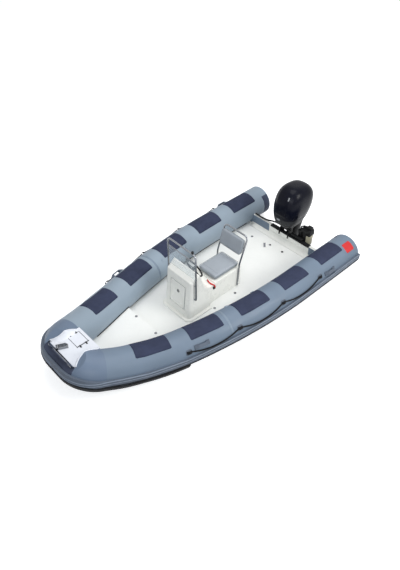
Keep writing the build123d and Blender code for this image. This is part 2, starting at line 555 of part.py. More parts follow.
def make_seat():
    box = block((SEAT_AFT, CONSOLE_AFT - GAP), (-SEAT_HALF, SEAT_HALF), (DECK_Z + GAP, SEAT_TOP))
    box = fillet(box.edges().filter_by(Axis.Z).group_by(Axis.X)[0], 40)
    box = box - block((SEAT_AFT + SKIN, LID_FRONT - SKIN), (-SEAT_HALF + SKIN, SEAT_HALF - SKIN),
                      (DECK_Z + SKIN, SEAT_TOP + 1))
    export(box, "seat_box")

    lid_z = (SEAT_TOP + SOFT_GAP, SEAT_TOP + SOFT_GAP + LID_PLATE)
    lid = block((SEAT_AFT + 5, LID_FRONT), (-SEAT_HALF + 2, SEAT_HALF - 2), lid_z)
    lid = fillet(lid.edges().filter_by(Axis.Z).group_by(Axis.X)[0], 38)
    nose_z = (lid_z[0] + lid_z[1]) / 2
    nose = rod((LID_FRONT, -SEAT_HALF + 2, nose_z), (LID_FRONT, SEAT_HALF - 2, nose_z), LID_PLATE / 2)
    export(lid + nose, "seat_lid")
    cushion_z = lid_z[1] + SOFT_GAP
    cushion = block((SEAT_AFT + 16, LID_FRONT - 8), (-CUSHION_HALF, CUSHION_HALF),
                    (cushion_z, cushion_z + CUSHION_THICK))
    cushion = fillet(cushion.edges().filter_by(Axis.Z), 45)
    export(fillet(cushion.faces().sort_by(Axis.Z)[-1].edges(), 22), "seat_cushion")

    leg_y = SEAT_HALF + PIPE_R + GAP
    half = [(REST_FOOT_X, leg_y, REST_FOOT_Z), (REST_BEND_X, leg_y, REST_BEND_Z),
            (REST_TOP_X, leg_y, REST_TOP_Z)]
    far = [(x, -y, z) for x, y, z in reversed(half)]
    slope = (REST_TOP_X - REST_BEND_X) / (REST_TOP_Z - REST_BEND_Z)
    pad_z = (PAD_LOW + PAD_HIGH) / 2
    bar_x = REST_BEND_X + slope * (pad_z - REST_BEND_Z)
    frame = pipe(half + far, [180, 60, 60, 180])
    for side in (-1, 1):
        frame = frame + rod((bar_x, side * leg_y, pad_z), (bar_x, side * (PAD_HALF + SOFT_GAP), pad_z),
                            REST_BAR_R)
    export(frame, "backrest_frame")
    pad = Box(PAD_THICK, 2 * PAD_HALF, PAD_HIGH - PAD_LOW)
    pad = fillet(pad.edges().filter_by(Axis.X), 50)
    pad = fillet(pad.faces().sort_by(Axis.X)[-1].edges(), 15)
    place = Location((bar_x, 0, pad_z), (0, -degrees(atan2(-slope, 1)), 0))
    export(place * pad, "backrest_pad")


def make_screen(solid_console):
    side = CONSOLE_HALF + PIPE_R + FRAME_OUT
    leg = [(SCREEN_X + SCREEN_RAKE, CONSOLE_HALF + GAP, SCREEN_FOOT),
           (SCREEN_X + SCREEN_RAKE, side + STAY_REACH, SCREEN_FOOT), (SCREEN_X, side, SCREEN_TOP)]
    far = [(x, -y, z) for x, y, z in reversed(leg)]
    frame = pipe(leg + far, [FRAME_FOOT_BEND, FRAME_BEND, FRAME_BEND, FRAME_FOOT_BEND])

    def leg_x(z):
        return SCREEN_X + SCREEN_RAKE * (SCREEN_TOP - z) / (SCREEN_TOP - SCREEN_FOOT)

    frame = frame + rod((leg_x(SCREEN_BAR), -side, SCREEN_BAR), (leg_x(SCREEN_BAR), side, SCREEN_BAR),
                        SCREEN_BAR_R)
    for y in (-1, 1):
        frame = frame + rod((leg_x(SCREEN_STAY), y * (CONSOLE_HALF + GAP), SCREEN_STAY),
                            (leg_x(SCREEN_STAY), y * (side + FRAME_OUT), SCREEN_STAY), STAY_R)
    export(frame, "screen_frame")

    half = side - PIPE_R - GAP
    high = SCREEN_BAR - SCREEN_BAR_R - GAP
    low = HOOD_FRONT_Z + GLASS_LAP
    lean = degrees(atan2(SCREEN_RAKE, SCREEN_TOP - SCREEN_FOOT))
    pane = Location((leg_x((low + high) / 2), 0, (low + high) / 2), (0, -lean, 0)) * Box(
        GLASS, 2 * half, high - low)
    export(largest(pane - solid_console), "windscreen")
    light_z = SCREEN_TOP + PIPE_R + GAP + LIGHT_HIGH / 2
    light = Pos(SCREEN_X, side - LIGHT_IN, light_z) * Cylinder(LIGHT_R, LIGHT_HIGH)
    export(light, "nav_light")


# ---------------------------------------------------------------- helm

def dash_plane():
    """Plane of the dash: z out of it towards the helm, x up it."""
    foot, crest = Vector(DASH_FOOT_X, 0, DASH_FOOT_Z), Vector(DASH_TOP_X, 0, DASH_TOP_Z)
    up = (crest - foot).normalized()
    return Plane(origin=(foot + crest) / 2, x_dir=up, z_dir=Vector(0, -1, 0).cross(up))


def make_helm():
    dash = dash_plane()
    export(dash * extrude(Pos(0, 0, GAP) * Circle(HUB_R), HUB_HIGH - GAP), "helm_hub")
    wheel = Pos(0, 0, WHEEL_REACH) * Torus(WHEEL_R, RIM_R)
    boss_low = HUB_HIGH + GAP
    wheel = wheel + Pos(0, 0, (WHEEL_REACH + boss_low) / 2) * Cylinder(BOSS_R, WHEEL_REACH - boss_low)
    for angle in SPOKE_ANGLES:
        spoke = block((0, WHEEL_R), (-SPOKE_HALF, SPOKE_HALF),
                      (WHEEL_REACH - SPOKE_FRONT, WHEEL_REACH - SPOKE_BACK))
        wheel = wheel + Rot(0, 0, angle) * spoke
    export(dash * wheel, "steering_wheel")
    gauges = [dash * Pos(GAUGE_UP, y, GAP + GAUGE_HIGH / 2) * Cylinder(GAUGE_R, GAUGE_HIGH)
              for y in GAUGE_Y]
    export(group(*gauges), "gauges")
    low, high, half, tall = LEVER_BOX
    throttle = dash * block((low, high), (LEVER_Y - half, LEVER_Y + half), (GAP, tall))
    throttle = throttle + dash * block((LEVER_X - LEVER_THICK, LEVER_X + LEVER_THICK),
                                       (LEVER_Y - LEVER_HALF, LEVER_Y + LEVER_HALF),
                                       (tall - LEVER_SINK, LEVER_HIGH))
    knob = Rot(90, 0, 0) * Cylinder(LEVER_KNOB_R, LEVER_KNOB)
    throttle = throttle + dash * Pos(LEVER_X, LEVER_Y, LEVER_HIGH) * knob
    export(throttle, "throttle")


# ---------------------------------------------------------------- deck gear

def eye_plate(drop):
    """Lifting eye with its base plate at x = 0, reaching forward, bore across the boat."""
    outer = EYE_R + EYE_WALL
    ring = Pos(outer + EYE_LIFT, 0, 0) * Rot(90, 0, 0) * Cylinder(outer, EYE_THICK)
    ring = ring + block((0, outer + EYE_LIFT), (-EYE_THICK / 2, EYE_THICK / 2), (-outer, outer))
    ring = ring + block((0, EYE_PLATE), (-EYE_PLATE_HALF, EYE_PLATE_HALF), (-drop, drop))
    return ring - Pos(outer + EYE_LIFT, 0, 0) * Rot(90, 0, 0) * Cylinder(EYE_R, 3 * EYE_THICK)


def make_deck_gear():
    export(Pos(STEM_X + GAP, 0, EYE_Z) * eye_plate(TOW_DROP), "tow_eye")
    stern_eye = Rot(0, 0, 180) * eye_plate(STERN_DROP)
    stern_eye = Pos(TRANSOM_X - TRANSOM_THICK - GAP, STERN_EYE_Y, STERN_EYE_Z) * stern_eye
    export(both(stern_eye), "stern_eyes")
    buttons = [Pos(x, y, z + GAP + BUTTON_HIGH / 2) * Cylinder(BUTTON_R, BUTTON_HIGH)
               for x, y, z in BUTTONS]
    plate = Rot(0, 0, MAT_TURN) * Box(MAT_LENGTH, MAT_WIDTH, MAT_THICK)
    plate = Pos(MAT_X, MAT_Y, DECK_Z + GAP + MAT_THICK / 2) * plate
    export(group(plate, *buttons), "deck_fittings")

    route = [Vector(*point) for point in CABLE_ROUTE]
    route += [Vector(TILT_X, CABLE_LAST_Y, TILT_Z),
              Vector(TILT_X, -CHEEK_Y - CHEEK_THICK / 2 - CLAMP - GAP, TILT_Z)]
    path = smooth_path(route)
    cable = sweep(Plane(origin=route[0], z_dir=route[1] - route[0]) * Circle(CABLE_R), path=path)
    bends = [edge.radius for edge in path.edges() if edge.geom_type == GeomType.CIRCLE]
    print("control cable", round(path.length), "mm, least bend radius", round(min(bends)))
    export(largest(cut_by_tubes(cable)), "control_cable")

    aft = TRANSOM_X - TRANSOM_THICK - CAP_Z
    canister = Pos(aft - FILTER_R - FILTER_BACK, FILTER_Y, (FILTER_LOW + FILTER_HIGH) / 2) * Cylinder(
        FILTER_R, FILTER_HIGH - FILTER_LOW)
    canister = fillet(canister.edges(), FILTER_ROUND)
    export(canister, "filter_canister")
    head = block((aft - 2 * FILTER_R - FILTER_BACK, aft - GAP), (FILTER_Y - HEAD_IN, FILTER_Y + HEAD_OUT),
                 (FILTER_HIGH + GAP, FILTER_HIGH + HEAD_HIGH))
    bracket = block((aft - FILTER_BACK, aft - GAP), (FILTER_Y - BRACKET_HALF, FILTER_Y + BRACKET_HALF),
                    (BRACKET_LOW, FILTER_HIGH + BRACKET_LAP))
    export(head + bracket, "filter_head")

    switch = block((SWITCH_AFT, SWITCH_FRONT), (SEAT_HALF + GAP, SEAT_HALF + SWITCH_OUT),
                   (SWITCH_LOW, SWITCH_HIGH))
    export(switch, "kill_switch")


# ---------------------------------------------------------------- engine

def rounded_section(z, front, aft, half, corner):
    return Pos((front + aft) / 2, 0, z) * RectangleRounded(front - aft, 2 * half, corner)


def ellipse_section(z, length, width):
    return Pos(STEER_X - LEG_SETBACK - length / 2, 0, z) * Ellipse(length / 2, width / 2)


def make_bracket():
    aft = TRANSOM_X - TRANSOM_THICK
    back, front = aft - GAP, TRANSOM_X + HOOK_REACH
    throat = TRANSOM_TOP + CAP_Z + GAP
    cheek = [(back, CHEEK_FOOT), (back, throat), (TRANSOM_X + CLAMP, throat), (TRANSOM_X + CLAMP, HOOK_LOW),
             (front, HOOK_LOW), (front, HOOK_TOP), (TILT_X + CHEEK_R, TILT_Z), (TILT_X - CHEEK_R, TILT_Z),
             (back - 60, HOOK_LOW), (back - 40, CHEEK_FOOT)]
    tube_end = CHEEK_Y + CHEEK_THICK / 2 + CLAMP
    brackets = rod((TILT_X, -tube_end, TILT_Z), (TILT_X, tube_end, TILT_Z), TILT_R)
    for y in (-CHEEK_Y, CHEEK_Y):
        side = profile(cheek, CHEEK_THICK / 2) + rod((TILT_X, -CHEEK_THICK / 2, TILT_Z),
                                                     (TILT_X, CHEEK_THICK / 2, TILT_Z), CHEEK_R)
        brackets = brackets + Pos(0, y, 0) * side
    brackets = brackets + block((back - 36, back - 6), (-CHEEK_Y, CHEEK_Y), (CHEEK_FOOT, CHEEK_FOOT + 40))
    export(brackets, "engine_bracket")

    low, high = ARM_LOW + ARM_THICK / 2 + ARM_GAP, ARM_TOP - ARM_THICK / 2 - ARM_GAP
    swivel = rod((STEER_X, 0, low), (STEER_X, 0, high), SPINE_R)
    swivel = swivel + block((STEER_X, STEER_X + SPINE_R), (-SPINE_R, SPINE_R), (low + 80, high))
    swivel = swivel + block((STEER_X, TILT_X), (-55, 55), (TILT_Z - 38, TILT_Z))
    swivel = swivel + rod((TILT_X, -EAR_HALF, TILT_Z), (TILT_X, EAR_HALF, TILT_Z), EAR_R)
    swivel = swivel - rod((TILT_X, -EAR_HALF - 1, TILT_Z), (TILT_X, EAR_HALF + 1, TILT_Z), TILT_R + FIT)
    swivel = swivel - rod((STEER_X, 0, low - 1), (STEER_X, 0, TILT_Z + EAR_R + 1), KINGPIN_R + FIT)
    export(swivel, "engine_swivel")


def make_leg():
    leg = loft([ellipse_section(LEG_TOP, *LEG_TOP_SIZE), ellipse_section(LEG_WAIST, *LEG_WAIST_SIZE),
                ellipse_section(PLATE_Z, *LEG_FOOT_SIZE)])
    leg = leg + rod((STEER_X, 0, ARM_LOW), (STEER_X, 0, ARM_TOP), KINGPIN_R)
    for z in (ARM_LOW, ARM_TOP):
        span = (z - ARM_THICK / 2, z + ARM_THICK / 2)
        leg = leg + rod((STEER_X, 0, span[0]), (STEER_X, 0, span[1]), ARM_R)
        leg = leg + block((STEER_X - LEG_SETBACK - ARM_IN, STEER_X - ARM_OUT), (-ARM_HALF, ARM_HALF), span)
    leg = leg + rod((PROP_X, 0, PROP_Z), (PROP_X + CASE_LENGTH, 0, PROP_Z), CASE_R)
    leg = leg + Pos(PROP_X + CASE_LENGTH, 0, PROP_Z) * scale(Sphere(CASE_R), by=(CASE_NOSE, 1, 1))
    leg = leg + block((PROP_X + STRUT_AFT, PROP_X + STRUT_FRONT), (-STRUT_HALF, STRUT_HALF),
                      (PROP_Z, PLATE_Z))
    plate = block((PROP_X - PLATE_AFT, STEER_X - LEG_SETBACK + PLATE_LAP), (-PLATE_HALF, PLATE_HALF),
                  (PLATE_Z - PLATE_THICK / 2, PLATE_Z + PLATE_THICK / 2))
    leg = leg + fillet(plate.edges().filter_by(Axis.Z), PLATE_ROUND)
    skeg = [(PROP_X + ahead, PROP_Z - drop) for ahead, drop in SKEG]
    leg = leg + profile(skeg, SKEG_HALF)
    hub_end = PROP_X - HUB_LENGTH
    leg = leg + rod((PROP_X + SHAFT_LAP, 0, PROP_Z), (hub_end - SHAFT_END, 0, PROP_Z), SHAFT_R)
    leg = leg + rod((hub_end - NUT_LAP, 0, PROP_Z), (hub_end - NUT_END, 0, PROP_Z), NUT_R)
    export(leg, "engine_leg")


def make_cowls():
    export(loft([rounded_section(*row) for row in PAN_ROWS]), "lower_cowl")
    cowl = loft([rounded_section(*row) for row in COWL_ROWS])
    cowl = fillet(cowl.faces().sort_by(Axis.Z)[-1].edges(), COWL_ROUND)
    wall = COWL_WALL
    inside = loft([rounded_section(z - wall * (step > 0), front - wall, aft + wall, half - wall,
                                   corner - wall)
                   for step, (z, front, aft, half, corner) in enumerate(COWL_ROWS)])
    inside = fillet(inside.faces().sort_by(Axis.Z)[-1].edges(), COWL_ROUND)
    export(cowl - inside, "engine_cowl")
    power = block((POWER_AFT, POWER_FRONT), (-POWER_HALF, POWER_HALF),
                  (PAN_TOP + GAP, PAN_TOP + POWER_HIGH))
    export(power, "powerhead")


def blade_section(radius, chord, thick):
    """Lens section of a propeller blade at a radius, turned to the pitch."""
    lens = make_face(ThreePointArc((-chord / 2, 0), (0, thick), (chord / 2, 0))
                     + Line((chord / 2, 0), (-chord / 2, 0)))
    pitch = degrees(atan2(PROP_PITCH, 2 * pi * radius))
    return Pos(0, 0, radius) * Rot(0, 0, 90 - pitch) * lens


def make_propeller():
    middle = Pos(PROP_X - HUB_LENGTH / 2, 0, PROP_Z)
    prop = middle * Rot(0, 90, 0) * Cylinder(HUB_RADIUS, HUB_LENGTH - 2 * GAP)
    blade = loft([blade_section(HUB_RADIUS - 6, 66, 11), blade_section(105, 104, 8),
                  blade_section(PROP_R - 6, 62, 3)])
    for k in range(BLADES):
        prop = prop + middle * Rot(360 / BLADES * k, 0, 0) * blade
    bore = rod((PROP_X + 10, 0, PROP_Z), (PROP_X - HUB_LENGTH - 10, 0, PROP_Z), SHAFT_R + FIT)
    export(prop - bore, "propeller")


os.makedirs("parts", exist_ok=True)
hull_solid = make_hull()
make_transom_trim()
make_collar()
make_fittings()
make_nose(hull_solid)
console_solid = make_console()
make_seat()
make_screen(console_solid)
make_helm()
make_deck_gear()
make_bracket()
make_leg()
make_cowls()
make_propeller()
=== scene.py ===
import bpy
import math
from math import cos, pi, radians, sin, sqrt, tan
from mathutils import Matrix, Vector
from mathutils.bvhtree import BVHTree


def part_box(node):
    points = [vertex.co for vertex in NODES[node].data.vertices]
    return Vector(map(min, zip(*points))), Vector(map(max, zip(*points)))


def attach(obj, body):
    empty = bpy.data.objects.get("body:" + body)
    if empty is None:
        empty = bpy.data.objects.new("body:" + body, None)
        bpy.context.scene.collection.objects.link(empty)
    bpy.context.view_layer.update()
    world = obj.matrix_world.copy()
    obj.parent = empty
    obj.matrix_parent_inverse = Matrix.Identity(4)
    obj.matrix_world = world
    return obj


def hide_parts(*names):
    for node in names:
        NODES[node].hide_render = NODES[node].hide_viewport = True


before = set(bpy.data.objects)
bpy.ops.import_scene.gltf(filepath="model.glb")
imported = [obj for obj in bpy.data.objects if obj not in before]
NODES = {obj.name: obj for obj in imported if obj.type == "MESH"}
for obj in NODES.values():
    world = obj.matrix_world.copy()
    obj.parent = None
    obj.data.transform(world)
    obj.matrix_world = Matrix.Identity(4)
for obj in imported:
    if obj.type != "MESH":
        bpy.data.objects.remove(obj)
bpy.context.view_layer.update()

# -------------------- camera

AZIMUTH, ELEVATION, ROLL = radians(137.85), radians(43.53), radians(-0.73)
CAMERA_SPOT, SENSOR, LENS = (3.895, 4.401, 5.923), 36, 35.385     # metres, millimetres, millimetres
BACK = Vector((sin(AZIMUTH) * cos(ELEVATION), -cos(AZIMUTH) * cos(ELEVATION), sin(ELEVATION)))
RIGHT = Vector((0, 0, 1)).cross(BACK).normalized()
UP = BACK.cross(RIGHT)
turned = (RIGHT * cos(ROLL) + UP * sin(ROLL), UP * cos(ROLL) - RIGHT * sin(ROLL), BACK)
camera = bpy.data.objects.new("camera", bpy.data.cameras.new("camera"))
camera.matrix_world = Matrix.Translation(CAMERA_SPOT) @ Matrix(turned).transposed().to_4x4()
camera.data.sensor_width = SENSOR
camera.data.lens = LENS
bpy.context.scene.collection.objects.link(camera)
bpy.context.scene.camera = camera


# -------------------- materials

COAT_ROUGH = 0.08
ROUGH_SPREAD = 0.07       # a finish's roughness varies by this much over its surface
WORN = 0.55               # worn spots are this dark against the rest


def linear(*srgb):
    """Linear colour of an 8-bit one."""
    return tuple(v / 255 / 12.92 if v <= 10 else ((v / 255 + 0.055) / 1.055) ** 2.4 for v in srgb) + (1,)


def material(name, colour, rough=0.5, metal=0.0, mottle=0.08, patch=5.0, grain=900.0, bump=0.2,
             depth=0.0004, pattern="grain", coat=0.0, sheen=0.0, specular=0.5, wear=0.0, alpha=1.0):
    """Principled material with colour variation, roughness variation and a fine bump.

    mottle is the share by which the colour varies, patch and grain are the scales of its clouds and its
    bump, and pattern is the bump's kind: grain, brushed, dots or braid.
    """
    made = bpy.data.materials.new(name)
    made.use_nodes = True
    tree = made.node_tree
    nodes, link = tree.nodes, tree.links.new
    shader = nodes["Principled BSDF"]
    shader.inputs["Metallic"].default_value = metal
    shader.inputs["Specular IOR Level"].default_value = specular
    shader.inputs["Coat Weight"].default_value = coat
    shader.inputs["Coat Roughness"].default_value = COAT_ROUGH
    shader.inputs["Sheen Weight"].default_value = sheen
    shader.inputs["Alpha"].default_value = alpha
    place = nodes.new("ShaderNodeTexCoord")

    def noise(scale, detail=4.0, stretch=None):
        made_noise = nodes.new("ShaderNodeTexNoise")
        made_noise.inputs["Scale"].default_value = scale
        made_noise.inputs["Detail"].default_value = detail
        source = place.outputs["Object"]
        if stretch:
            mapping = nodes.new("ShaderNodeMapping")
            mapping.inputs["Scale"].default_value = stretch
            link(source, mapping.inputs["Vector"])
            source = mapping.outputs["Vector"]
        link(source, made_noise.inputs["Vector"])
        return made_noise.outputs["Fac"]

    def ramp(value, low, high, start, stop):
        scaled = nodes.new("ShaderNodeMapRange")
        scaled.inputs["From Min"].default_value = start
        scaled.inputs["From Max"].default_value = stop
        scaled.inputs["To Min"].default_value = low
        scaled.inputs["To Max"].default_value = high
        link(value, scaled.inputs["Value"])
        return scaled.outputs["Result"]

    cloud = noise(patch)
    mix = nodes.new("ShaderNodeMix")
    mix.data_type = "RGBA"
    dark = tuple(c * (1 - mottle) for c in colour[:3]) + (1,)
    light = tuple(min(1, c * (1 + mottle)) for c in colour[:3]) + (1,)
    mix.inputs["A"].default_value, mix.inputs["B"].default_value = dark, light
    link(ramp(cloud, 0, 1, 0.35, 0.65), mix.inputs["Factor"])
    tint = mix.outputs["Result"]
    if wear:
        edge = nodes.new("ShaderNodeMix")
        edge.data_type = "RGBA"
        edge.inputs["B"].default_value = tuple(c * WORN + 0.02 for c in colour[:3]) + (1,)
        link(tint, edge.inputs["A"])
        link(ramp(noise(patch * 9, 8), 0, wear, 0.58, 0.75), edge.inputs["Factor"])
        tint = edge.outputs["Result"]
    link(tint, shader.inputs["Base Color"])
    link(ramp(noise(patch * 3), max(0.02, rough - ROUGH_SPREAD), min(1, rough + ROUGH_SPREAD), 0.3, 0.7),
         shader.inputs["Roughness"])
    if pattern == "grain":
        height = noise(grain, 2)
    elif pattern == "brushed":
        height = noise(grain, 2, (0.02, 1, 1))
    elif pattern == "dots":
        cells = nodes.new("ShaderNodeTexVoronoi")
        cells.inputs["Scale"].default_value = grain
        link(place.outputs["Object"], cells.inputs["Vector"])
        height = ramp(cells.outputs["Distance"], 1, 0, 0.1, 0.5)
    else:
        waves = []
        for turn in (45, -45):
            wave = nodes.new("ShaderNodeTexWave")
            wave.inputs["Scale"].default_value = grain
            wave.inputs["Distortion"].default_value = 0.4
            mapping = nodes.new("ShaderNodeMapping")
            mapping.inputs["Rotation"].default_value = (
                radians(turn) * 0.3, radians(turn) * 0.2, radians(turn))
            link(place.outputs["Object"], mapping.inputs["Vector"])
            link(mapping.outputs["Vector"], wave.inputs["Vector"])
            waves.append(wave.outputs["Fac"])
        both = nodes.new("ShaderNodeMath")
        both.operation = "MULTIPLY"
        link(waves[0], both.inputs[0])
        link(waves[1], both.inputs[1])
        height = both.outputs["Value"]
    relief = nodes.new("ShaderNodeBump")
    relief.inputs["Strength"].default_value = bump
    relief.inputs["Distance"].default_value = depth
    link(height, relief.inputs["Height"])
    link(relief.outputs["Normal"], shader.inputs["Normal"])
    return made


# three copies of one tube fabric; the lighter one is painted light on the starboard tube, its end cap and
# valves
TUBE, TUBE_PAINTED_LIGHT, BOW_TUBE_PAINTED_SHADE = (
    material(name, linear(*srgb), 0.5, mottle=0.05, patch=2.2, grain=700, bump=0.15, specular=0.3, coat=0.04)
    for name, srgb in (("tube_fabric", (108, 123, 140)), ("tube_fabric_painted_light", (138, 152, 165)),
                       # the bow's copy is darker and bluer: painted shade on the bow tube
                       ("bow_tube_fabric_painted_shade", (101, 116, 136))))
SEAM = material("seam_tape", linear(118, 133, 149), 0.5, mottle=0.05, patch=4, grain=700, bump=0.2)
PATCH = material("grip_patch", linear(50, 56, 78), 0.8, mottle=0.1, patch=7, grain=240, bump=0.55,
                 depth=0.0012, pattern="dots", specular=0.2)
STRAKE = material("strake_rubber", linear(92, 101, 114), 0.55, mottle=0.07, patch=4, grain=500, bump=0.2,
                  wear=0.15, specular=0.25)
STRAKE_LIP = material("strake_lip", linear(120, 131, 147), 0.5, mottle=0.06, patch=4, grain=500, bump=0.2,
                      wear=0.1)
BLACK_RUBBER = material("black_rubber", linear(14, 15, 19), 0.75, mottle=0.2, patch=8, grain=500, bump=0.3,
                        wear=0.1, specular=0.2)
# dark navy sheet: on the bow's outboard side it is darker than the tube around it; on the tubes' stern ends
# it is painted shade
DARK_NAVY_SHEET = material("bow_pad_rubber", linear(58, 65, 84), 0.6, mottle=0.1, patch=6, grain=500, bump=0.3,
                   specular=0.25)
ROPE = material("braided_rope", linear(9, 9, 12), 0.8, mottle=0.2, patch=30, grain=260, bump=0.9,
                depth=0.0015, pattern="braid", specular=0.25)
GELCOAT = material("gelcoat", linear(240, 240, 234), 0.28, mottle=0.015, patch=1.6, grain=60, bump=0.04,
                   coat=0.1, specular=0.35, wear=0.05)
# darker, bluer copy of the gelcoat for the nose plate, its lid, coves and beads: painted shade that dims the
# brightly lit nose
GELCOAT_PAINTED_SHADE = material("nose_gelcoat_painted_shade", linear(222, 225, 232), 0.35, mottle=0.015, patch=1.6, grain=60, bump=0.04,
                    specular=0.3, wear=0.05)
SOLE = material("non_slip_sole", linear(236, 237, 234), 0.5, mottle=0.02, patch=2.5, grain=420, bump=0.35,
                depth=0.0006, pattern="dots", wear=0.07)
VINYL = material("gray_vinyl", linear(150, 157, 165), 0.55, mottle=0.04, patch=7, grain=900, bump=0.4,
                 depth=0.0005, sheen=0.1)
VINYL_DARK = material("gray_vinyl_side", linear(138, 146, 152), 0.55, mottle=0.05, patch=7, grain=900,
                      bump=0.4, depth=0.0005)
STEEL = material("polished_stainless", linear(142, 145, 150), 0.16, 1.0, mottle=0.05, patch=12, grain=900,
                 bump=0.05, pattern="brushed")
COWL = material("gloss_black_cowl", linear(12, 14, 25), 0.27, mottle=0.15, patch=3, grain=120, bump=0.02,
                coat=0.02, specular=0.1)
SATIN = material("satin_black", linear(15, 16, 19), 0.5, mottle=0.15, patch=9, grain=700, bump=0.15,
                 wear=0.1, specular=0.22)
PAN = material("dark_gray_pan", linear(44, 45, 48), 0.5, mottle=0.1, patch=9, grain=700, bump=0.15,
               specular=0.22)
PLASTIC = material("black_plastic", linear(22, 23, 26), 0.55, mottle=0.12, patch=12, grain=1100, bump=0.3,
                   specular=0.25)
CAST = material("cast_alloy", linear(120, 121, 122), 0.5, 0.8, mottle=0.1, patch=15, grain=300, bump=0.4)
RED = material("red_plastic", linear(196, 34, 34), 0.45, mottle=0.06, patch=12, grain=800, bump=0.2)
OLIVE = material("canister_paint", linear(168, 163, 142), 0.42, mottle=0.08, patch=9, grain=500, bump=0.15,
                 wear=0.2)
GLASS = material("clear_acrylic", linear(225, 235, 240), 0.05, mottle=0.01, patch=3, grain=50, bump=0.01,
                 alpha=0.24, coat=0.5)

CAD_MATERIALS = {
    TUBE: ("tube_port", "end_cap_port", "transom_gussets"),
    # starboard tube, end cap and valves: the tube fabric made lighter, painted light
    TUBE_PAINTED_LIGHT: ("tube_starboard", "end_cap_starboard", "valves"),
    # bow tube: the tube fabric made darker and bluer, painted shade
    BOW_TUBE_PAINTED_SHADE: ("tube_bow",),
    STRAKE: ("strake_port", "strake_starboard", "strake_bow", "carry_handles"),
    BLACK_RUBBER: ("bow_guard", "rope_tabs", "transom_cap", "control_cable"),
    ROPE: ("lifeline_port", "lifeline_starboard"),
    PATCH: ("patches_port", "patches_starboard"),
    # nose plate and lid: the gelcoat made darker, painted shade
    GELCOAT_PAINTED_SHADE: ("nose_step", "locker_lid"),
    GELCOAT: ("console", "console_door", "seat_box", "seat_lid", "transom"),
    SOLE: ("hull", "forward_platform"),
    VINYL: ("seat_cushion", "backrest_pad"),
    STEEL: ("backrest_frame", "screen_frame", "tow_eye", "stern_eyes", "bow_roller", "nose_trim",
            "deck_fittings", "propeller"),
    COWL: ("engine_cowl",),
    PAN: ("lower_cowl",),
    SATIN: ("engine_leg", "engine_swivel", "engine_bracket"),
    PLASTIC: ("steering_wheel", "helm_hub", "gauges", "throttle", "nav_light", "filter_head", "kill_switch"),
    CAST: ("powerhead",),
    OLIVE: ("filter_canister",),
    GLASS: ("windscreen",),
}
for finish, names in CAD_MATERIALS.items():
    for name in names:
        slots = NODES[name].material_slots
        for slot in slots:
            slot.material = finish


# -------------------- mesh helpers

def piece(name, verts, faces, finish, body, slot, smooth=True, second=None):
    """New mesh object; second gives (material, test) for the faces that take another finish."""
    mesh = bpy.data.meshes.new(name)
    mesh.from_pydata([tuple(v) for v in verts], [], faces)
    mesh.validate()
    mesh.materials.append(finish)
    if second:
        mesh.materials.append(second[0])
    for polygon in mesh.polygons:
        polygon.use_smooth = smooth
        if second and second[1](polygon):
            polygon.material_index = 1
    made = bpy.data.objects.new(name, mesh)
    bpy.context.scene.collection.objects.link(made)
    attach(made, body)
    return made


def grid_faces(rows, columns, closed=False, start=0):
    """Quads of a grid; closed joins its last column to its first."""
    faces = []
    for r in range(rows - 1):
        for c in range(columns if closed else columns - 1):
            d = (c + 1) % columns
            a = start + r * columns
            faces.append((a + c, a + d, a + d + columns, a + c + columns))
    return faces


def capped_faces(rows, columns):
    """Quads of a tube of rings, and a face over each of its ends."""
    last = (rows - 1) * columns
    return (grid_faces(rows, columns, True)
            + [tuple(range(columns))[::-1], tuple(range(last, last + columns))])


def joined(parts):
    """One list of points and faces from several."""
    verts, faces = [], []
    for part_verts, part_faces in parts:
        faces += [tuple(i + len(verts) for i in face) for face in part_faces]
        verts += list(part_verts)
    return verts, faces


def hose(points, radius, sides=12, closed=False, groove=None):
    """Bar through points, capped unless it is closed; groove(turn, distance) gives shares of its radius."""
    points = [Vector(p) for p in points]
    count = len(points)
    verts, normal, gone = [], None, 0.0
    for i, point in enumerate(points):
        ahead = points[(i + 1) % count] if closed or i + 1 < count else point
        behind = points[i - 1] if closed or i else point
        along = (ahead - behind).normalized()
        if normal is None:
            normal = along.orthogonal().normalized()
        normal = (normal - along * normal.dot(along)).normalized()
        across = along.cross(normal)
        gone += (point - points[i - 1]).length if i else 0
        for k in range(sides):
            a = 2 * pi * k / sides
            r = radius * groove(a, gone) if groove else radius
            verts.append(point + (normal * cos(a) + across * sin(a)) * r)
    if not closed:
        return verts, capped_faces(count, sides)
    last = (count - 1) * sides
    ring = [(last + k, last + (k + 1) % sides, (k + 1) % sides, k) for k in range(sides)]
    return verts, grid_faces(count, sides, True) + ring


def turned_part(rows, place, sides=40):
    """Surface of revolution from (radius, height) rows, closed at both ends, placed by a matrix."""
    verts = [place @ Vector((r * cos(a), r * sin(a), h))
             for r, h in rows for a in (2 * pi * k / sides for k in range(sides))]
    return verts, capped_faces(len(rows), sides)


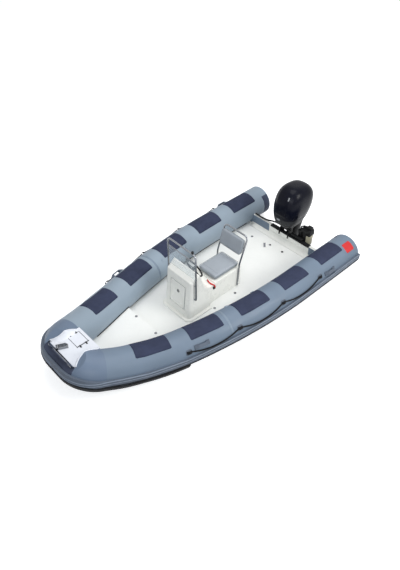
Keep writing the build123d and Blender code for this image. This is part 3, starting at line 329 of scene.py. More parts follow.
def rounded_box(size, round_by, place, steps=4, crown=0.0):
    """Box with rounded edges, its top crowned upwards, placed by a matrix."""
    half = [s / 2 for s in size]

    def axis_points(h):
        inner = h - round_by
        arc = [inner + round_by * sin(pi / 2 * k / steps) for k in range(steps + 1)]
        flat = [inner * (2 * k / 8 - 1) for k in range(1, 8)]
        return [-v for v in reversed(arc)] + flat + arc

    lines = [axis_points(h) for h in half]
    verts, faces, seen = [], [], {}

    def vertex(p):
        core = Vector([max(-h + round_by, min(h - round_by, v)) for v, h in zip(p, half)])
        away = Vector(p) - core
        spot = core + away.normalized() * round_by if away.length > 1e-9 else Vector(p)
        if crown and spot.z > 0:
            spot.z += crown * (1 - (spot.x / half[0]) ** 2) * (1 - (spot.y / half[1]) ** 2)
        key = tuple(round(v, 6) for v in spot)
        if key not in seen:
            seen[key] = len(verts)
            verts.append(place @ spot)
        return seen[key]

    for axis in range(3):
        u, v = (axis + 1) % 3, (axis + 2) % 3
        for sign in (-1, 1):
            for i in range(len(lines[u]) - 1):
                for j in range(len(lines[v]) - 1):
                    quad = []
                    for a, b in ((i, j), (i + 1, j), (i + 1, j + 1), (i, j + 1)):
                        p = [0, 0, 0]
                        p[axis], p[u], p[v] = sign * half[axis], lines[u][a], lines[v][b]
                        quad.append(vertex(p))
                    quad = list(dict.fromkeys(quad if sign > 0 else quad[::-1]))
                    if len(quad) > 2:
                        faces.append(tuple(quad))
    return verts, faces


def at(x, y, z, rx=0.0, ry=0.0, rz=0.0):
    """Matrix that turns by degrees about x, y and z and moves to a point."""
    return (Matrix.Translation((x, y, z)) @ Matrix.Rotation(radians(rz), 4, "Z")
            @ Matrix.Rotation(radians(ry), 4, "Y") @ Matrix.Rotation(radians(rx), 4, "X"))


def corner_loop(half_x, half_y, corner, place, lift, count=8):
    """Points round a rounded rectangle."""
    loop = []
    for cx, cy, turn in ((1, 1, 0), (-1, 1, 90), (-1, -1, 180), (1, -1, 270)):
        for k in range(count + 1):
            a = radians(turn + 90 * k / count)
            loop.append(place @ Vector((cx * (half_x - corner) + corner * cos(a),
                                        cy * (half_y - corner) + corner * sin(a), lift)))
    return loop


# -------------------- places on the collar

# the tube's axis, as in the part: x forward, y to port, z up, metres
TUBE_R = 0.24
STERN, BEND, TUBE_Y, TUBE_Z = -2.35, -1.171, 0.919, 0.25
SIDE_R, BOW_R, SHEER_FROM, SHEER = 8.855, 0.244, 0.819, 0.139
SIDE_TURNS, BOW_STEPS = 6, 12
SIDE_STEP = radians(20.5 / 6)
BOW_SINK, BOW_STEP_RISE = 0.003, 0.0045   # the axis climbs by steps round the bow corner


def axis_line():
    """The tube's axis from the bow's middle to the port stern."""

    def height(x):
        return TUBE_Z + SHEER * max(0.0, x - SHEER_FROM) ** 2

    reach = SIDE_R * tan(SIDE_STEP / 2)
    x, y, heading = BEND, TUBE_Y, 0.0
    line = [Vector((STERN, TUBE_Y, TUBE_Z)), Vector((x, y, TUBE_Z))]
    for _ in range(SIDE_TURNS):
        x, y = x + reach * cos(heading), y - reach * sin(heading)
        heading += SIDE_STEP
        x, y = x + reach * cos(heading), y - reach * sin(heading)
        line.append(Vector((x, y, height(x))))
    rise = line[-1].z - BOW_SINK
    for k in range(1, BOW_STEPS + 1):
        turn = heading + (pi / 2 - heading) * k / BOW_STEPS
        line.append(Vector((x + BOW_R * (sin(turn) - sin(heading)),
                            y - BOW_R * (cos(heading) - cos(turn)), rise + BOW_STEP_RISE * k)))
    line.append(Vector((line[-1].x, 0, line[-1].z)))
    return line[::-1]


AXIS = axis_line()
LENGTHS = [0.0]
for first, second in zip(AXIS, AXIS[1:]):
    LENGTHS.append(LENGTHS[-1] + (second - first).length)


def skin_tree():
    """Search tree of the three tubes' own surfaces."""
    verts, polys = [], []
    for name in ("tube_port", "tube_starboard", "tube_bow", "end_cap_port", "end_cap_starboard"):
        mesh = NODES[name].data
        polys += [tuple(i + len(verts) for i in p.vertices) for p in mesh.polygons]
        verts += [v.co.copy() for v in mesh.vertices]
    return BVHTree.FromPolygons(verts, polys)


SKIN = skin_tree()
RAY_START, RAY_DEEPEST = 0.08, 0.09       # how far outside and inside the tube's radius its skin may lie
EDGE_OUT, EDGE_SINK = 0.0006, 0.001       # how far a glued sheet's edge spreads and sinks into the skin


def on_skin(distance, angle, lift=0.0, side=1):
    """Point on the collar: distance from the bow's middle in m, angle from the tube's top in degrees."""
    i = max(k for k, length in enumerate(LENGTHS[:-1]) if length <= max(distance, 0))
    share = (distance - LENGTHS[i]) / (LENGTHS[i + 1] - LENGTHS[i])
    centre = AXIS[i].lerp(AXIS[i + 1], share)
    forward = (AXIS[i] - AXIS[i + 1]).normalized()
    if 0 < i < len(AXIS) - 2:
        before = (AXIS[i - 1] - AXIS[i]).normalized()
        after = (AXIS[i + 1] - AXIS[i + 2]).normalized()
        forward = (before.lerp(forward, 0.5 + share) if share < 0.5 else forward.lerp(after, share - 0.5))
        forward.normalize()
    outboard = Vector((0, 0, 1)).cross(forward).normalized()
    out = outboard * sin(radians(angle)) + forward.cross(outboard) * cos(radians(angle))
    centre, out = Vector((centre.x, side * centre.y, centre.z)), Vector((out.x, side * out.y, out.z))
    hit = SKIN.ray_cast(centre + out * (TUBE_R + RAY_START), -out)[0]
    radius = (hit - centre).length if hit and (hit - centre).length > TUBE_R - RAY_DEEPEST else TUBE_R
    return centre + out * (radius + lift)


def skin_strip(start, stop, low, high, thick, side=1, steps=24, round_by=0.0, across=10):
    """Sheet glued on the collar, with its edges turned down to the skin and rounded corners."""
    rows, length = [], stop - start
    width = radians(high - low) * TUBE_R
    for r in range(steps + 1):
        along = length * r / steps
        near = min(along, length - along)
        inset = 0.0
        if round_by and near < round_by:
            inset = round_by - sqrt(max(0.0, round_by ** 2 - (round_by - near) ** 2))
        trim = inset / width * (high - low)
        row = []
        for c in range(across + 1):
            angle = low + trim + (high - low - 2 * trim) * c / across
            row.append(on_skin(start + along, angle, thick, side))
        rows.append(row)
    top = [v for row in rows for v in row]
    count = across + 1
    faces = grid_faces(len(rows), count)
    rim = (list(range(count)) + [r * count + across for r in range(1, len(rows))]
           + [(len(rows) - 1) * count + c for c in range(across - 1, -1, -1)]
           + [r * count for r in range(len(rows) - 2, 0, -1)])
    centre_of = sum(top, Vector()) / len(top)
    low_ring = []
    for index in rim:
        found = SKIN.find_nearest(top[index])
        point = found[0] + (top[index] - centre_of).normalized() * EDGE_OUT
        low_ring.append(point + (found[0] - top[index]).normalized() * EDGE_SINK)
    base = len(top)
    verts = top + low_ring
    n = len(rim)
    faces += [(rim[k], base + k, base + (k + 1) % n, rim[(k + 1) % n]) for k in range(n)]
    if side > 0:
        faces = [face[::-1] for face in faces]
    return verts, faces


# -------------------- non-slip patches, seams and strips

SIDES = ((1, "port"), (-1, "starboard"))
# lengths are in metres along the tube, IN and OUT are degrees from its top; each patch starts a little
# nearer to the bow than the part's, which start at PATCH_FIRST and are PATCH_LENGTH long
PATCH_START, PATCH_FIRST, PATCH_PITCH, PATCH_LENGTH, PATCH_COUNT = 0.846, 0.892, 0.787, 0.457, 5
PATCH_IN, PATCH_OUT, PATCH_THICK, PATCH_CORNER = -42, 31.5, 0.0035, 0.009
SEAM_AT, SEAM_HALF, SEAM_IN, SEAM_OUT, SEAM_THICK = 2.215, 0.016, -128, 79.4, 0.0007
STRIP_START, STRIP_LEFT, STRIP_STEPS = 0.02, 0.03, 150       # LEFT is what stays bare at the stern
# name, angle from the tube's top, lift off it, radius, finish, slot
STRIPS = (("strake_bead_", 100.2, 0.0345, 0.0085, BLACK_RUBBER, "dark_trim"),
          ("strake_lip_", 81.6, 0.0335, 0.0065, STRAKE_LIP, "strake"),
          ("strake_rib_", 89.5, 0.0335, 0.0055, STRAKE_LIP, "strake"))
# the dark band on each tube's stern end is painted shade over its inboard lower side
BAND_LONG, BAND_LEFT, BAND_IN, BAND_OUT, BAND_THICK = 0.13, 0.006, -128, -38, 0.002
SQUARE = (4.545, 4.715, 15, 52, 0.0016)   # start, stop, angles and thickness of the port tube's red square
SQUARE_CORNER = 0.016

for side, word in SIDES:
    parts = [skin_strip(PATCH_START + PATCH_PITCH * k, PATCH_FIRST + PATCH_PITCH * k + PATCH_LENGTH,
                        PATCH_IN, PATCH_OUT, PATCH_THICK, side, 30, PATCH_CORNER)
             for k in range(PATCH_COUNT)]
    patches = piece("grip_patches_" + word, *joined(parts), PATCH, "boat", "grip_patch")
    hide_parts("patches_" + word)
    seam = skin_strip(SEAM_AT - SEAM_HALF, SEAM_AT + SEAM_HALF, SEAM_IN, SEAM_OUT, SEAM_THICK, side, 3, 0, 40)
    piece("seam_tapes_" + word, *seam, SEAM, "boat", "tube_fabric")
    for name, angle, lift, radius, finish, slot in STRIPS:
        strip_length = LENGTHS[-1] - STRIP_LEFT - STRIP_START
        line = [on_skin(STRIP_START + strip_length * k / STRIP_STEPS, angle, lift, side)
                for k in range(STRIP_STEPS + 1)]
        piece(name + word, *hose(line, radius, 10), finish, "boat", slot)
    # painted shade: a dark navy sheet on the inboard lower side of the tube's end
    band = skin_strip(LENGTHS[-1] - BAND_LONG, LENGTHS[-1] - BAND_LEFT, BAND_IN, BAND_OUT, BAND_THICK,
                      side, 8)
    piece("stern_painted_shade_" + word, *band, DARK_NAVY_SHEET, "boat", "dark_trim")
    if side > 0:
        piece("red_square", *skin_strip(*SQUARE, side, 14, SQUARE_CORNER), RED, "boat", "red_plastic")


# -------------------- lifelines, their tabs and the cable

# control points of the port lifeline's three swags, from its routes in the part
SWAGS = (
    ((0.8993, 0.9024, 0.3715), (0.8110, 0.9352, 0.3441), (0.7209, 0.9618, 0.3237), (0.6295, 0.9840, 0.3111),
     (0.5374, 1.0030, 0.3068), (0.4455, 1.0189, 0.3107), (0.3528, 1.0320, 0.3226), (0.2587, 1.0408, 0.3421),
     (0.1639, 1.0432, 0.3683)),
    ((0.1149, 1.0503, 0.3683), (0.0253, 1.0747, 0.3421), (-0.0652, 1.0929, 0.3226),
     (-0.1549, 1.1068, 0.3107), (-0.2464, 1.1178, 0.3067), (-0.3383, 1.1258, 0.3107),
     (-0.4305, 1.1305, 0.3226), (-0.5228, 1.1307, 0.3421), (-0.6151, 1.1245, 0.3683)),
    ((-0.6635, 1.1274, 0.3683), (-0.7560, 1.1444, 0.3421), (-0.8491, 1.1550, 0.3226),
     (-0.9424, 1.1611, 0.3107), (-1.0359, 1.1638, 0.3067), (-1.1294, 1.1636, 0.3107),
     (-1.2206, 1.1603, 0.3226), (-1.3113, 1.1536, 0.3421), (-1.4021, 1.1415, 0.3683)))
CABLE = ((-1.972, -0.655, 0.275), (-1.970, -0.520, 0.272), (-1.972, -0.400, 0.276),
         (-1.984, -0.300, 0.306), (-1.990, -0.200, 0.325), (-1.990, -0.1035, 0.325))
ROPE_R, ROPE_WIDE = 0.0105, 0.020         # the strands' outer radius, and the rope's mean thickness
ROPE_STEP, CABLE_STEP, CABLE_R = 0.004, 0.006, 0.013
TABS = (1.553, 2.333, 3.097, 3.871)       # distances of the rope tabs along the tube
TAB_ANGLE, TAB_SPREAD, TAB_HALF, TAB_THICK, TAB_CORNER = 62, 9, 0.045, 0.003, 0.02
LOOP_HALF, LOOP_LIFT, LOOP_RISE, LOOP_STEPS = 0.034, 0.004, 0.022, 10
STRAP_HALF, STRAP_THICK = 0.019, 0.0035


def smooth_line(points):
    """Points along the NURBS spline that has these control points."""
    curve = bpy.data.curves.new("route", "CURVE")
    curve.dimensions, curve.resolution_u = "3D", 24
    spline = curve.splines.new("NURBS")
    spline.points.add(len(points) - 1)
    for knot, point in zip(spline.points, points):
        knot.co = (*point, 1)
    spline.order_u, spline.use_endpoint_u = 3, True
    holder = bpy.data.objects.new("route", curve)
    mesh = bpy.data.meshes.new_from_object(holder)
    line = [v.co.copy() for v in mesh.vertices]
    bpy.data.objects.remove(holder)
    bpy.data.curves.remove(curve)
    bpy.data.meshes.remove(mesh)
    return line


def even_line(line, step):
    """The same line with its points a step apart."""
    out, left = [line[0]], step
    for a, b in zip(line, line[1:]):
        length, gone = (b - a).length, 0.0
        while length - gone >= left:
            gone += left
            out.append(a.lerp(b, gone / length))
            left = step
        left -= length - gone
    if (out[-1] - line[-1]).length > step * 0.3:
        out.append(line[-1])
    else:
        out[-1] = line[-1]
    return out


STRANDS, LAY = 3, 0.055
GROOVE_FLOOR, GROOVE_DEPTH = 0.86, 0.14   # of the grooves between the strands, as shares of the radius


def strand(turn, distance):
    """Share of the rope's radius that its twisted strands reach at a turn and a distance along it."""
    return GROOVE_FLOOR + GROOVE_DEPTH * abs(cos(STRANDS / 2 * (turn - 2 * pi * distance / LAY)))


for side, word in SIDES:
    for number, swag in enumerate(SWAGS, 1):
        line = even_line(smooth_line([(x, side * y, z) for x, y, z in swag]), ROPE_STEP)
        rope = piece(f"lifeline_{word}_{number}", *hose(line, ROPE_R, 18, groove=strand), ROPE, "boat",
                     "rope")
        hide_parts("lifeline_" + word)
    bases = [skin_strip(d - TAB_HALF, d + TAB_HALF, TAB_ANGLE - TAB_SPREAD, TAB_ANGLE + TAB_SPREAD,
                        TAB_THICK, side, 12, TAB_CORNER) for d in TABS]
    piece("tab_patches_" + word, *joined(bases), STRAKE, "boat", "strake")
    loops = []
    for d in TABS:
        arch = [on_skin(d - LOOP_HALF + 2 * LOOP_HALF * k / LOOP_STEPS, TAB_ANGLE,
                        LOOP_LIFT + LOOP_RISE * sin(pi * k / LOOP_STEPS) ** 0.6, side)
                for k in range(LOOP_STEPS + 1)]
        across = (on_skin(d, TAB_ANGLE + 1, 0, side) - on_skin(d, TAB_ANGLE - 1, 0, side)).normalized()
        up = (on_skin(d, TAB_ANGLE, 0.01, side) - on_skin(d, TAB_ANGLE, 0, side)).normalized()
        strap = [p + across * w * STRAP_HALF + up * h for p in arch
                 for w, h in ((-1, 0), (1, 0), (1, STRAP_THICK), (-1, STRAP_THICK))]
        loops.append((strap, capped_faces(LOOP_STEPS + 1, 4)))
    straps = piece("tab_loops_" + word, *joined(loops), BLACK_RUBBER, "boat", "rope", smooth=False)
    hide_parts("rope_tabs")

cable_line = even_line(smooth_line(CABLE), CABLE_STEP)
sheath = piece("steering_cable", *hose(cable_line, CABLE_R, 14), PLASTIC, "boat", "black_plastic")
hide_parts("control_cable")


# -------------------- dark bead along the deck's edge, painted as the shadow line where the tube meets the deck

DECK, PLATFORM = 0.060, 0.190
EDGE_STEPS, EDGE_R, EDGE_UP, EDGE_OFF, EDGE_LIFT = 80, 0.0075, 0.008, 0.005, 0.004
# name, height of the deck, and where the bead starts and stops along the tube
EDGES = (("platform_shadow_bead_", PLATFORM, 0.80, 1.47), ("deck_shadow_bead_", DECK, 1.49, 4.30))
for side, word in SIDES:
    for name, height, start, stop in EDGES:
        line = []
        for k in range(EDGE_STEPS + 1):
            d = start + (stop - start) * k / EDGE_STEPS
            i = max(n for n, length in enumerate(LENGTHS[:-1]) if length <= d)
            centre = AXIS[i].lerp(AXIS[i + 1], (d - LENGTHS[i]) / (LENGTHS[i + 1] - LENGTHS[i]))
            turn = math.degrees(math.acos(max(-1.0, (height + EDGE_UP - centre.z) / (TUBE_R + EDGE_OFF))))
            line.append(on_skin(d, -turn, EDGE_LIFT, side))
        # black bead on the tube just above the deck: painted shadow line of the joint
        piece(name + word, *hose(line, EDGE_R, 8), BLACK_RUBBER, "boat", "dark_trim")


# -------------------- coved foot of the transom

TRANSOM_FRONT, COVE_R, COVE_HALF = -1.950, 0.075, 0.690
COVE_STEPS, COVE_ARC, COVE_OFF = 12, 8, 0.001
cove_rows = []
for k in range(COVE_STEPS + 1):
    y = -COVE_HALF + 2 * COVE_HALF * k / COVE_STEPS
    curve = [(TRANSOM_FRONT + COVE_R - COVE_R * sin(pi / 2 * n / COVE_ARC),
              DECK + COVE_R - COVE_R * cos(pi / 2 * n / COVE_ARC)) for n in range(COVE_ARC + 1)]
    curve.append((TRANSOM_FRONT + COVE_OFF, DECK + COVE_OFF))
    cove_rows.append([Vector((x, y, z)) for x, z in curve])
cove_faces = [face[::-1] for face in capped_faces(len(cove_rows), len(cove_rows[0]))]
piece("transom_cove", [v for row in cove_rows for v in row], cove_faces, GELCOAT, "boat", "gelcoat")


# -------------------- nose moulding

NOSE_TOP, NOSE_AFT, NOSE_FRONT, NOSE_HALF, FLARE_X, FLARE_R = 0.600, 1.795, 2.205, 0.220, 2.020, 0.2539
FLANGE_START, FLANGE_SHORT, FLANGE_STEPS, FLANGE_ARC = 0.004, 0.016, 40, 8
FLANGE_LIFT, FLANGE_THICK = 0.0006, 0.0003
FLANGE_WIDE, FLANGE_WIDER, FULL_RISE = 0.012, 0.042, 0.05    # its width, and what a full rise adds
RAY_OUT, RAY_HEIGHT, LEAST_RISE = 0.007, 1.5, 0.0015         # the tube's edge is found by a ray from above
BEAD_OUT, BEAD_UP, BEAD_R = 0.004, 0.002, 0.0075
BOW_SHEET_LONG, BOW_SHEET_IN, BOW_SHEET_OUT, BOW_SHEET_THICK = 0.215, 43, 78.5, 0.003


def nose_half(x):
    """Half width of the nose plate, which flares in an arc towards its front edge."""
    return NOSE_HALF if x < FLARE_X else NOSE_HALF + FLARE_R - sqrt(FLARE_R ** 2 - (x - FLARE_X) ** 2)


def thick_strip(rows, thick):
    """Closed strip from rows of points on its upper side."""
    count, top = len(rows[0]), [v for row in rows for v in row]
    total = len(top)
    verts = top + [v - Vector((0, 0, thick)) for v in top]
    faces = grid_faces(len(rows), count)
    faces += [tuple(i + total for i in face[::-1]) for face in grid_faces(len(rows), count)]
    rim = (list(range(count)) + [r * count + count - 1 for r in range(1, len(rows))]
           + [total - count + c for c in range(count - 2, -1, -1)]
           + [r * count for r in range(len(rows) - 2, 0, -1)])
    faces += [(a, a + total, b + total, b) for a, b in zip(rim, rim[1:] + rim[:1])]
    return verts, faces


def flange(side):
    """Cove from the nose plate up to the cut edge of the tube, and the points along its top."""
    rows, edge = [], []
    for k in range(FLANGE_STEPS + 1):
        x = NOSE_AFT + FLANGE_START + (NOSE_FRONT - NOSE_AFT - FLANGE_SHORT) * k / FLANGE_STEPS
        half = nose_half(x)
        hit = SKIN.ray_cast(Vector((x, side * (half + RAY_OUT), RAY_HEIGHT)), Vector((0, 0, -1)))[0]
        rise = max(LEAST_RISE, (hit.z if hit else NOSE_TOP) - NOSE_TOP)
        wide = FLANGE_WIDE + FLANGE_WIDER * min(1.0, rise / FULL_RISE)
        row = []
        for n in range(FLANGE_ARC + 1):
            t = n / FLANGE_ARC
            row.append(Vector((x, side * (half - wide * (1 - t)),
                               NOSE_TOP + FLANGE_LIFT + rise * (1 - cos(pi / 2 * t)))))
        rows.append(row)
        edge.append(Vector((x, side * (half + BEAD_OUT), NOSE_TOP + rise + BEAD_UP)))
    verts, faces = thick_strip(rows, FLANGE_THICK)
    return (verts, faces if side < 0 else [face[::-1] for face in faces]), edge


for side, word in SIDES:
    cove, edge = flange(side)
    piece("nose_flange_" + word, *cove, GELCOAT_PAINTED_SHADE, "boat", "gelcoat")
    piece("nose_bead_" + word, *hose(edge, BEAD_R, 12), GELCOAT_PAINTED_SHADE, "boat", "gelcoat")
    # dark navy sheet over the bow's outboard side, darker than the tube around it
    pad = skin_strip(0.0, BOW_SHEET_LONG, BOW_SHEET_IN, BOW_SHEET_OUT, BOW_SHEET_THICK, side, 20, 0.0, 16)
    piece("bow_pad_" + word, *pad, DARK_NAVY_SHEET, "boat", "dark_trim")


# -------------------- seal, hinges and catches of the locker's lid

GAP_END, GAP_SIDE, GAP_UP, SEAL_R, SEAL_CORNER = 0.003, 0.001, 0.0005, 0.0030, 0.008
FITTING_IN, FITTING_UP, FITTING_EDGE = 0.035, 0.003, 0.003
HINGE_PLATE, HINGE_OUT = (0.018, 0.046, 0.007), 0.012
CATCH_PLATE, CATCH_OUT = (0.018, 0.034, 0.007), 0.008
PIN_R, PIN_LONGER, PIN_UP = 0.0045, 0.01, 0.004
lid_low, lid_high = (Vector(v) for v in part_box("locker_lid"))
lid_x, lid_y = (lid_low.x + lid_high.x) / 2, (lid_low.y + lid_high.y) / 2
gap = corner_loop((lid_high.x - lid_low.x) / 2 + GAP_END, (lid_high.y - lid_low.y) / 2 + GAP_SIDE,
                  SEAL_CORNER, at(lid_x, lid_y, NOSE_TOP), GAP_UP)
piece("lid_seal", *hose(gap, SEAL_R, 8, True), PAN, "boat", "dark_trim")
fitting_spots = (lid_low.x + FITTING_IN, lid_high.x - FITTING_IN)
hinges = [rounded_box(HINGE_PLATE, FITTING_EDGE, at(x, lid_high.y + HINGE_OUT, NOSE_TOP + FITTING_UP))
          for x in fitting_spots]
pin = [(x, lid_high.y, NOSE_TOP + PIN_UP) for x in (lid_low.x - PIN_LONGER, lid_high.x + PIN_LONGER)]
hinges.append(hose(pin, PIN_R, 10))
piece("lid_hinges", *joined(hinges), SATIN, "boat", "black_plastic")
catches = [rounded_box(CATCH_PLATE, FITTING_EDGE, at(x, lid_low.y - CATCH_OUT, NOSE_TOP + FITTING_UP))
           for x in fitting_spots]
piece("lid_catches", *joined(catches), SATIN, "boat", "black_plastic")


# -------------------- cushions

VOXEL, PRESSURE, CLOTH_FRAMES = 0.006, 4, 20
PAD_EDGE, SIDE_PULL = 0.02, 0.016         # rounding of a pad, and how much its cover draws in at the sides
CHANNEL_DEEP, CHANNEL_WIDE = 0.0075, 0.0055
CHANNEL_REACH, TOP_SLOPE = 0.4, 0.45      # channels reach this far down; steeper faces are the side's vinyl


def puffed(made, cap):
    mesh = made.data
    remesh = made.modifiers.new("remesh", "REMESH")
    remesh.mode, remesh.voxel_size = "VOXEL", VOXEL
    depsgraph = bpy.context.evaluated_depsgraph_get()
    made.data = bpy.data.meshes.new_from_object(made.evaluated_get(depsgraph))
    made.modifiers.clear()
    made.data.materials.clear()
    for finish in mesh.materials:
        made.data.materials.append(finish)
    rest = [v.co.copy() for v in made.data.vertices]
    cloth = made.modifiers.new("cloth", "CLOTH")
    cloth.settings.use_pressure = True
    cloth.settings.uniform_pressure_force = PRESSURE
    cloth.settings.effector_weights.gravity = 0
    for number in range(1, CLOTH_FRAMES + 1):
        bpy.context.scene.frame_set(number)
    depsgraph = bpy.context.evaluated_depsgraph_get()
    swollen = bpy.data.meshes.new_from_object(made.evaluated_get(depsgraph))
    made.modifiers.clear()
    for vertex, start, end in zip(made.data.vertices, rest, swollen.vertices):
        move = end.co - start
        vertex.co = start + move * min(1.0, cap / max(move.length, 1e-9))
    bpy.context.scene.frame_set(1)
    for polygon in made.data.polygons:
        polygon.use_smooth = True
    made.modifiers.new("smooth", "SUBSURF").render_levels = 1


def crowned_pad(name, size, place, body, channels=(), cap=0.008, crown=0.012, corner=0.05):
    """Padded cushion with its top towards the place's z, sewn channels across it, and a darker side."""
    verts, faces = rounded_box(size, PAD_EDGE, place, crown=crown)
    pad = piece(name, verts, faces, VINYL, body, "cushion")
    puffed(pad, cap)
    inverse = place.inverted()
    half = [s / 2 for s in size]
    for vertex in pad.data.vertices:
        p = inverse @ vertex.co
        pull = 1 - SIDE_PULL * (1 - (p.z / half[2]) ** 2 if abs(p.z) < half[2] else 0)
        pull -= corner * min(1.0, abs(p.x * p.y) / (half[0] * half[1])) ** 4
        if p.z > -half[2] * CHANNEL_REACH:
            for spot in channels:
                p.z -= CHANNEL_DEEP * math.exp(-((p.x - spot) / CHANNEL_WIDE) ** 2)
        p.x, p.y = p.x * pull, p.y * pull
        p.z = max(p.z, -half[2])
        vertex.co = place @ p
    pad.data.materials.append(VINYL_DARK)
    for polygon in pad.data.polygons:
        normal = inverse.to_3x3() @ polygon.normal
        polygon.material_index = 1 if normal.z < TOP_SLOPE else 0
    return pad


SEAT_LESS, SEAT_LESS_TALL = 0.012, 0.004  # the pad is built smaller than its solid, and then swells
SEAT_CHANNELS = (-0.17, 0.17)
SEAT_PIPE_IN, SEAT_PIPE_CORNER, SEAT_PIPE_UP, SEAT_PIPE_R = 0.004, 0.04, 0.021, 0.0035
seat_low, seat_high = (Vector(v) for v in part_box("seat_cushion"))
seat_middle = (seat_low + seat_high) / 2
seat_size = [b - a - SEAT_LESS for a, b in zip(seat_low, seat_high)]
seat_size[2] -= SEAT_LESS_TALL
seat_pad = crowned_pad("seat_pad", seat_size, at(*seat_middle), "seat", channels=SEAT_CHANNELS)
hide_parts("seat_cushion")
loop = corner_loop(seat_size[0] / 2 - SEAT_PIPE_IN, seat_size[1] / 2 - SEAT_PIPE_IN, SEAT_PIPE_CORNER,
                   at(*seat_middle), SEAT_PIPE_UP)
piece("seat_piping", *hose(loop, SEAT_PIPE_R, 8, True), VINYL_DARK, "seat", "cushion")

REST_LEAN = math.degrees(math.atan2(0.150, 0.415))
REST_SPOT, REST_OFF, REST_SIZE = (-0.7536, 0, 0.735), (-0.004, 0, 0.022), (0.262, 0.456, 0.044)
REST_PIPE = (0.124, 0.219, 0.055)         # half height, half width and corner of its piping
REST_PIPE_UP, REST_PIPE_R = 0.012, 0.003
rest_place = at(*REST_SPOT, ry=90 - REST_LEAN) @ Matrix.Translation(REST_OFF)
back_pad = crowned_pad("back_pad", REST_SIZE, rest_place, "boat", cap=0.006, crown=0.006, corner=0.13)
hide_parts("backrest_pad")
loop = corner_loop(*REST_PIPE, rest_place, REST_PIPE_UP)
piece("back_piping", *hose(loop, REST_PIPE_R, 8, True), VINYL_DARK, "boat", "cushion")


# -------------------- engine cowl

# z, front x, aft x, half width, squareness
PAN_ROWS = ((0.3728, -1.946, -2.270, 0.105, 3.0), (0.41, -1.885, -2.275, 0.135, 3.0),
            (0.45, -1.840, -2.285, 0.158, 3.0), (0.48, -1.815, -2.292, 0.170, 3.0),
            (0.499, -1.803, -2.298, 0.178, 3.0))
COWL_ROWS = ((0.5008, -1.800, -2.300, 0.180, 3.0), (0.56, -1.788, -2.325, 0.200, 3.0),
             (0.65, -1.780, -2.355, 0.222, 3.0), (0.76, -1.785, -2.385, 0.235, 3.0),
             (0.86, -1.802, -2.400, 0.236, 2.9), (0.95, -1.832, -2.398, 0.226, 2.9),
             (1.02, -1.868, -2.380, 0.205, 2.8), (1.075, -1.912, -2.345, 0.172, 2.7),
             (1.110, -1.962, -2.295, 0.132, 2.6), (1.126, -2.020, -2.235, 0.085, 2.4),
             (1.130, -2.100, -2.160, 0.020, 2.0))
SKIRT = 0.612
GROOVE_DEEP, GROOVE_HIGH = 0.0035, 0.0035
HOOD_FROM, HOOD_TALL, HOOD_FALL, HOOD_NOSE = 0.70, 0.43, 0.10, -1.80     # the top falls off aft of its nose
PANEL_FROM, PANEL_OUT, PANEL_HALF, PANEL_BLEND = 0.1, 0.007, 0.118, 0.004
PANEL_FOOT, FOOT_BLEND = 0.68, 0.006


def smooth_rows(rows, steps):
    """Rows between the given ones on a smooth curve through them."""
    out = []
    for i in range(len(rows) - 1):
        a, b, c, d = rows[max(i - 1, 0)], rows[i], rows[i + 1], rows[min(i + 2, len(rows) - 1)]
        for k in range(steps):
            t = k / steps
            out.append([0.5 * (2 * q + (r - p) * t + (2 * p - 5 * q + 4 * r - s) * t * t
                               + (3 * q - p - 3 * r + s) * t ** 3) for p, q, r, s in zip(a, b, c, d)])
    out.append(list(rows[-1]))
    return out


def cowl_shape(rows, around=120, groove=(), panel=False):
    """Closed shell of superellipse sections, with shallow grooves and a raised front panel."""
    verts = []
    for z, front, aft, half, power in rows:
        dent = sum(GROOVE_DEEP * math.exp(-((z - g) / GROOVE_HIGH) ** 2) for g in groove)
        reach, middle = (front - aft) / 2 - dent, (front + aft) / 2
        for k in range(around):
            a = 2 * pi * k / around
            c, s = cos(a), sin(a)
            x = middle + reach * math.copysign(abs(c) ** (2 / power), c)
            y = (half - dent) * math.copysign(abs(s) ** (2 / power), s)
            fall = max(0.0, z - HOOD_FROM) / HOOD_TALL
            if panel and x > middle + PANEL_FROM:
                x += (PANEL_OUT / (1 + math.exp((abs(y) - PANEL_HALF) / PANEL_BLEND))
                      / (1 + math.exp((PANEL_FOOT - z) / FOOT_BLEND)))
            verts.append((x, y, z - HOOD_FALL * fall ** 1.5 * (HOOD_NOSE - x)))
    return verts, capped_faces(len(rows), around)


cowl = piece("cowl_shell", *cowl_shape(smooth_rows(COWL_ROWS, 12), groove=(SKIRT,), panel=True), COWL,
             "engine", "engine_gloss", second=(PAN, lambda polygon: polygon.center.z < SKIRT))
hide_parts("engine_cowl", "powerhead")
pan = piece("pan_shell", *cowl_shape(smooth_rows(PAN_ROWS, 6)), PAN, "engine", "engine_dark")
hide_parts("lower_cowl")
latch = rounded_box((0.016, 0.056, 0.036), 0.006, at(-1.787, -0.020, 0.590, ry=8))
piece("cowl_latch", *latch, STEEL, "engine", "stainless")
badge = rounded_box((0.008, 0.024, 0.060), 0.003, at(-1.852, 0.088, 0.985, ry=-27))
piece("cowl_plate", *badge, STEEL, "engine", "stainless")


# -------------------- fuel filter on the transom

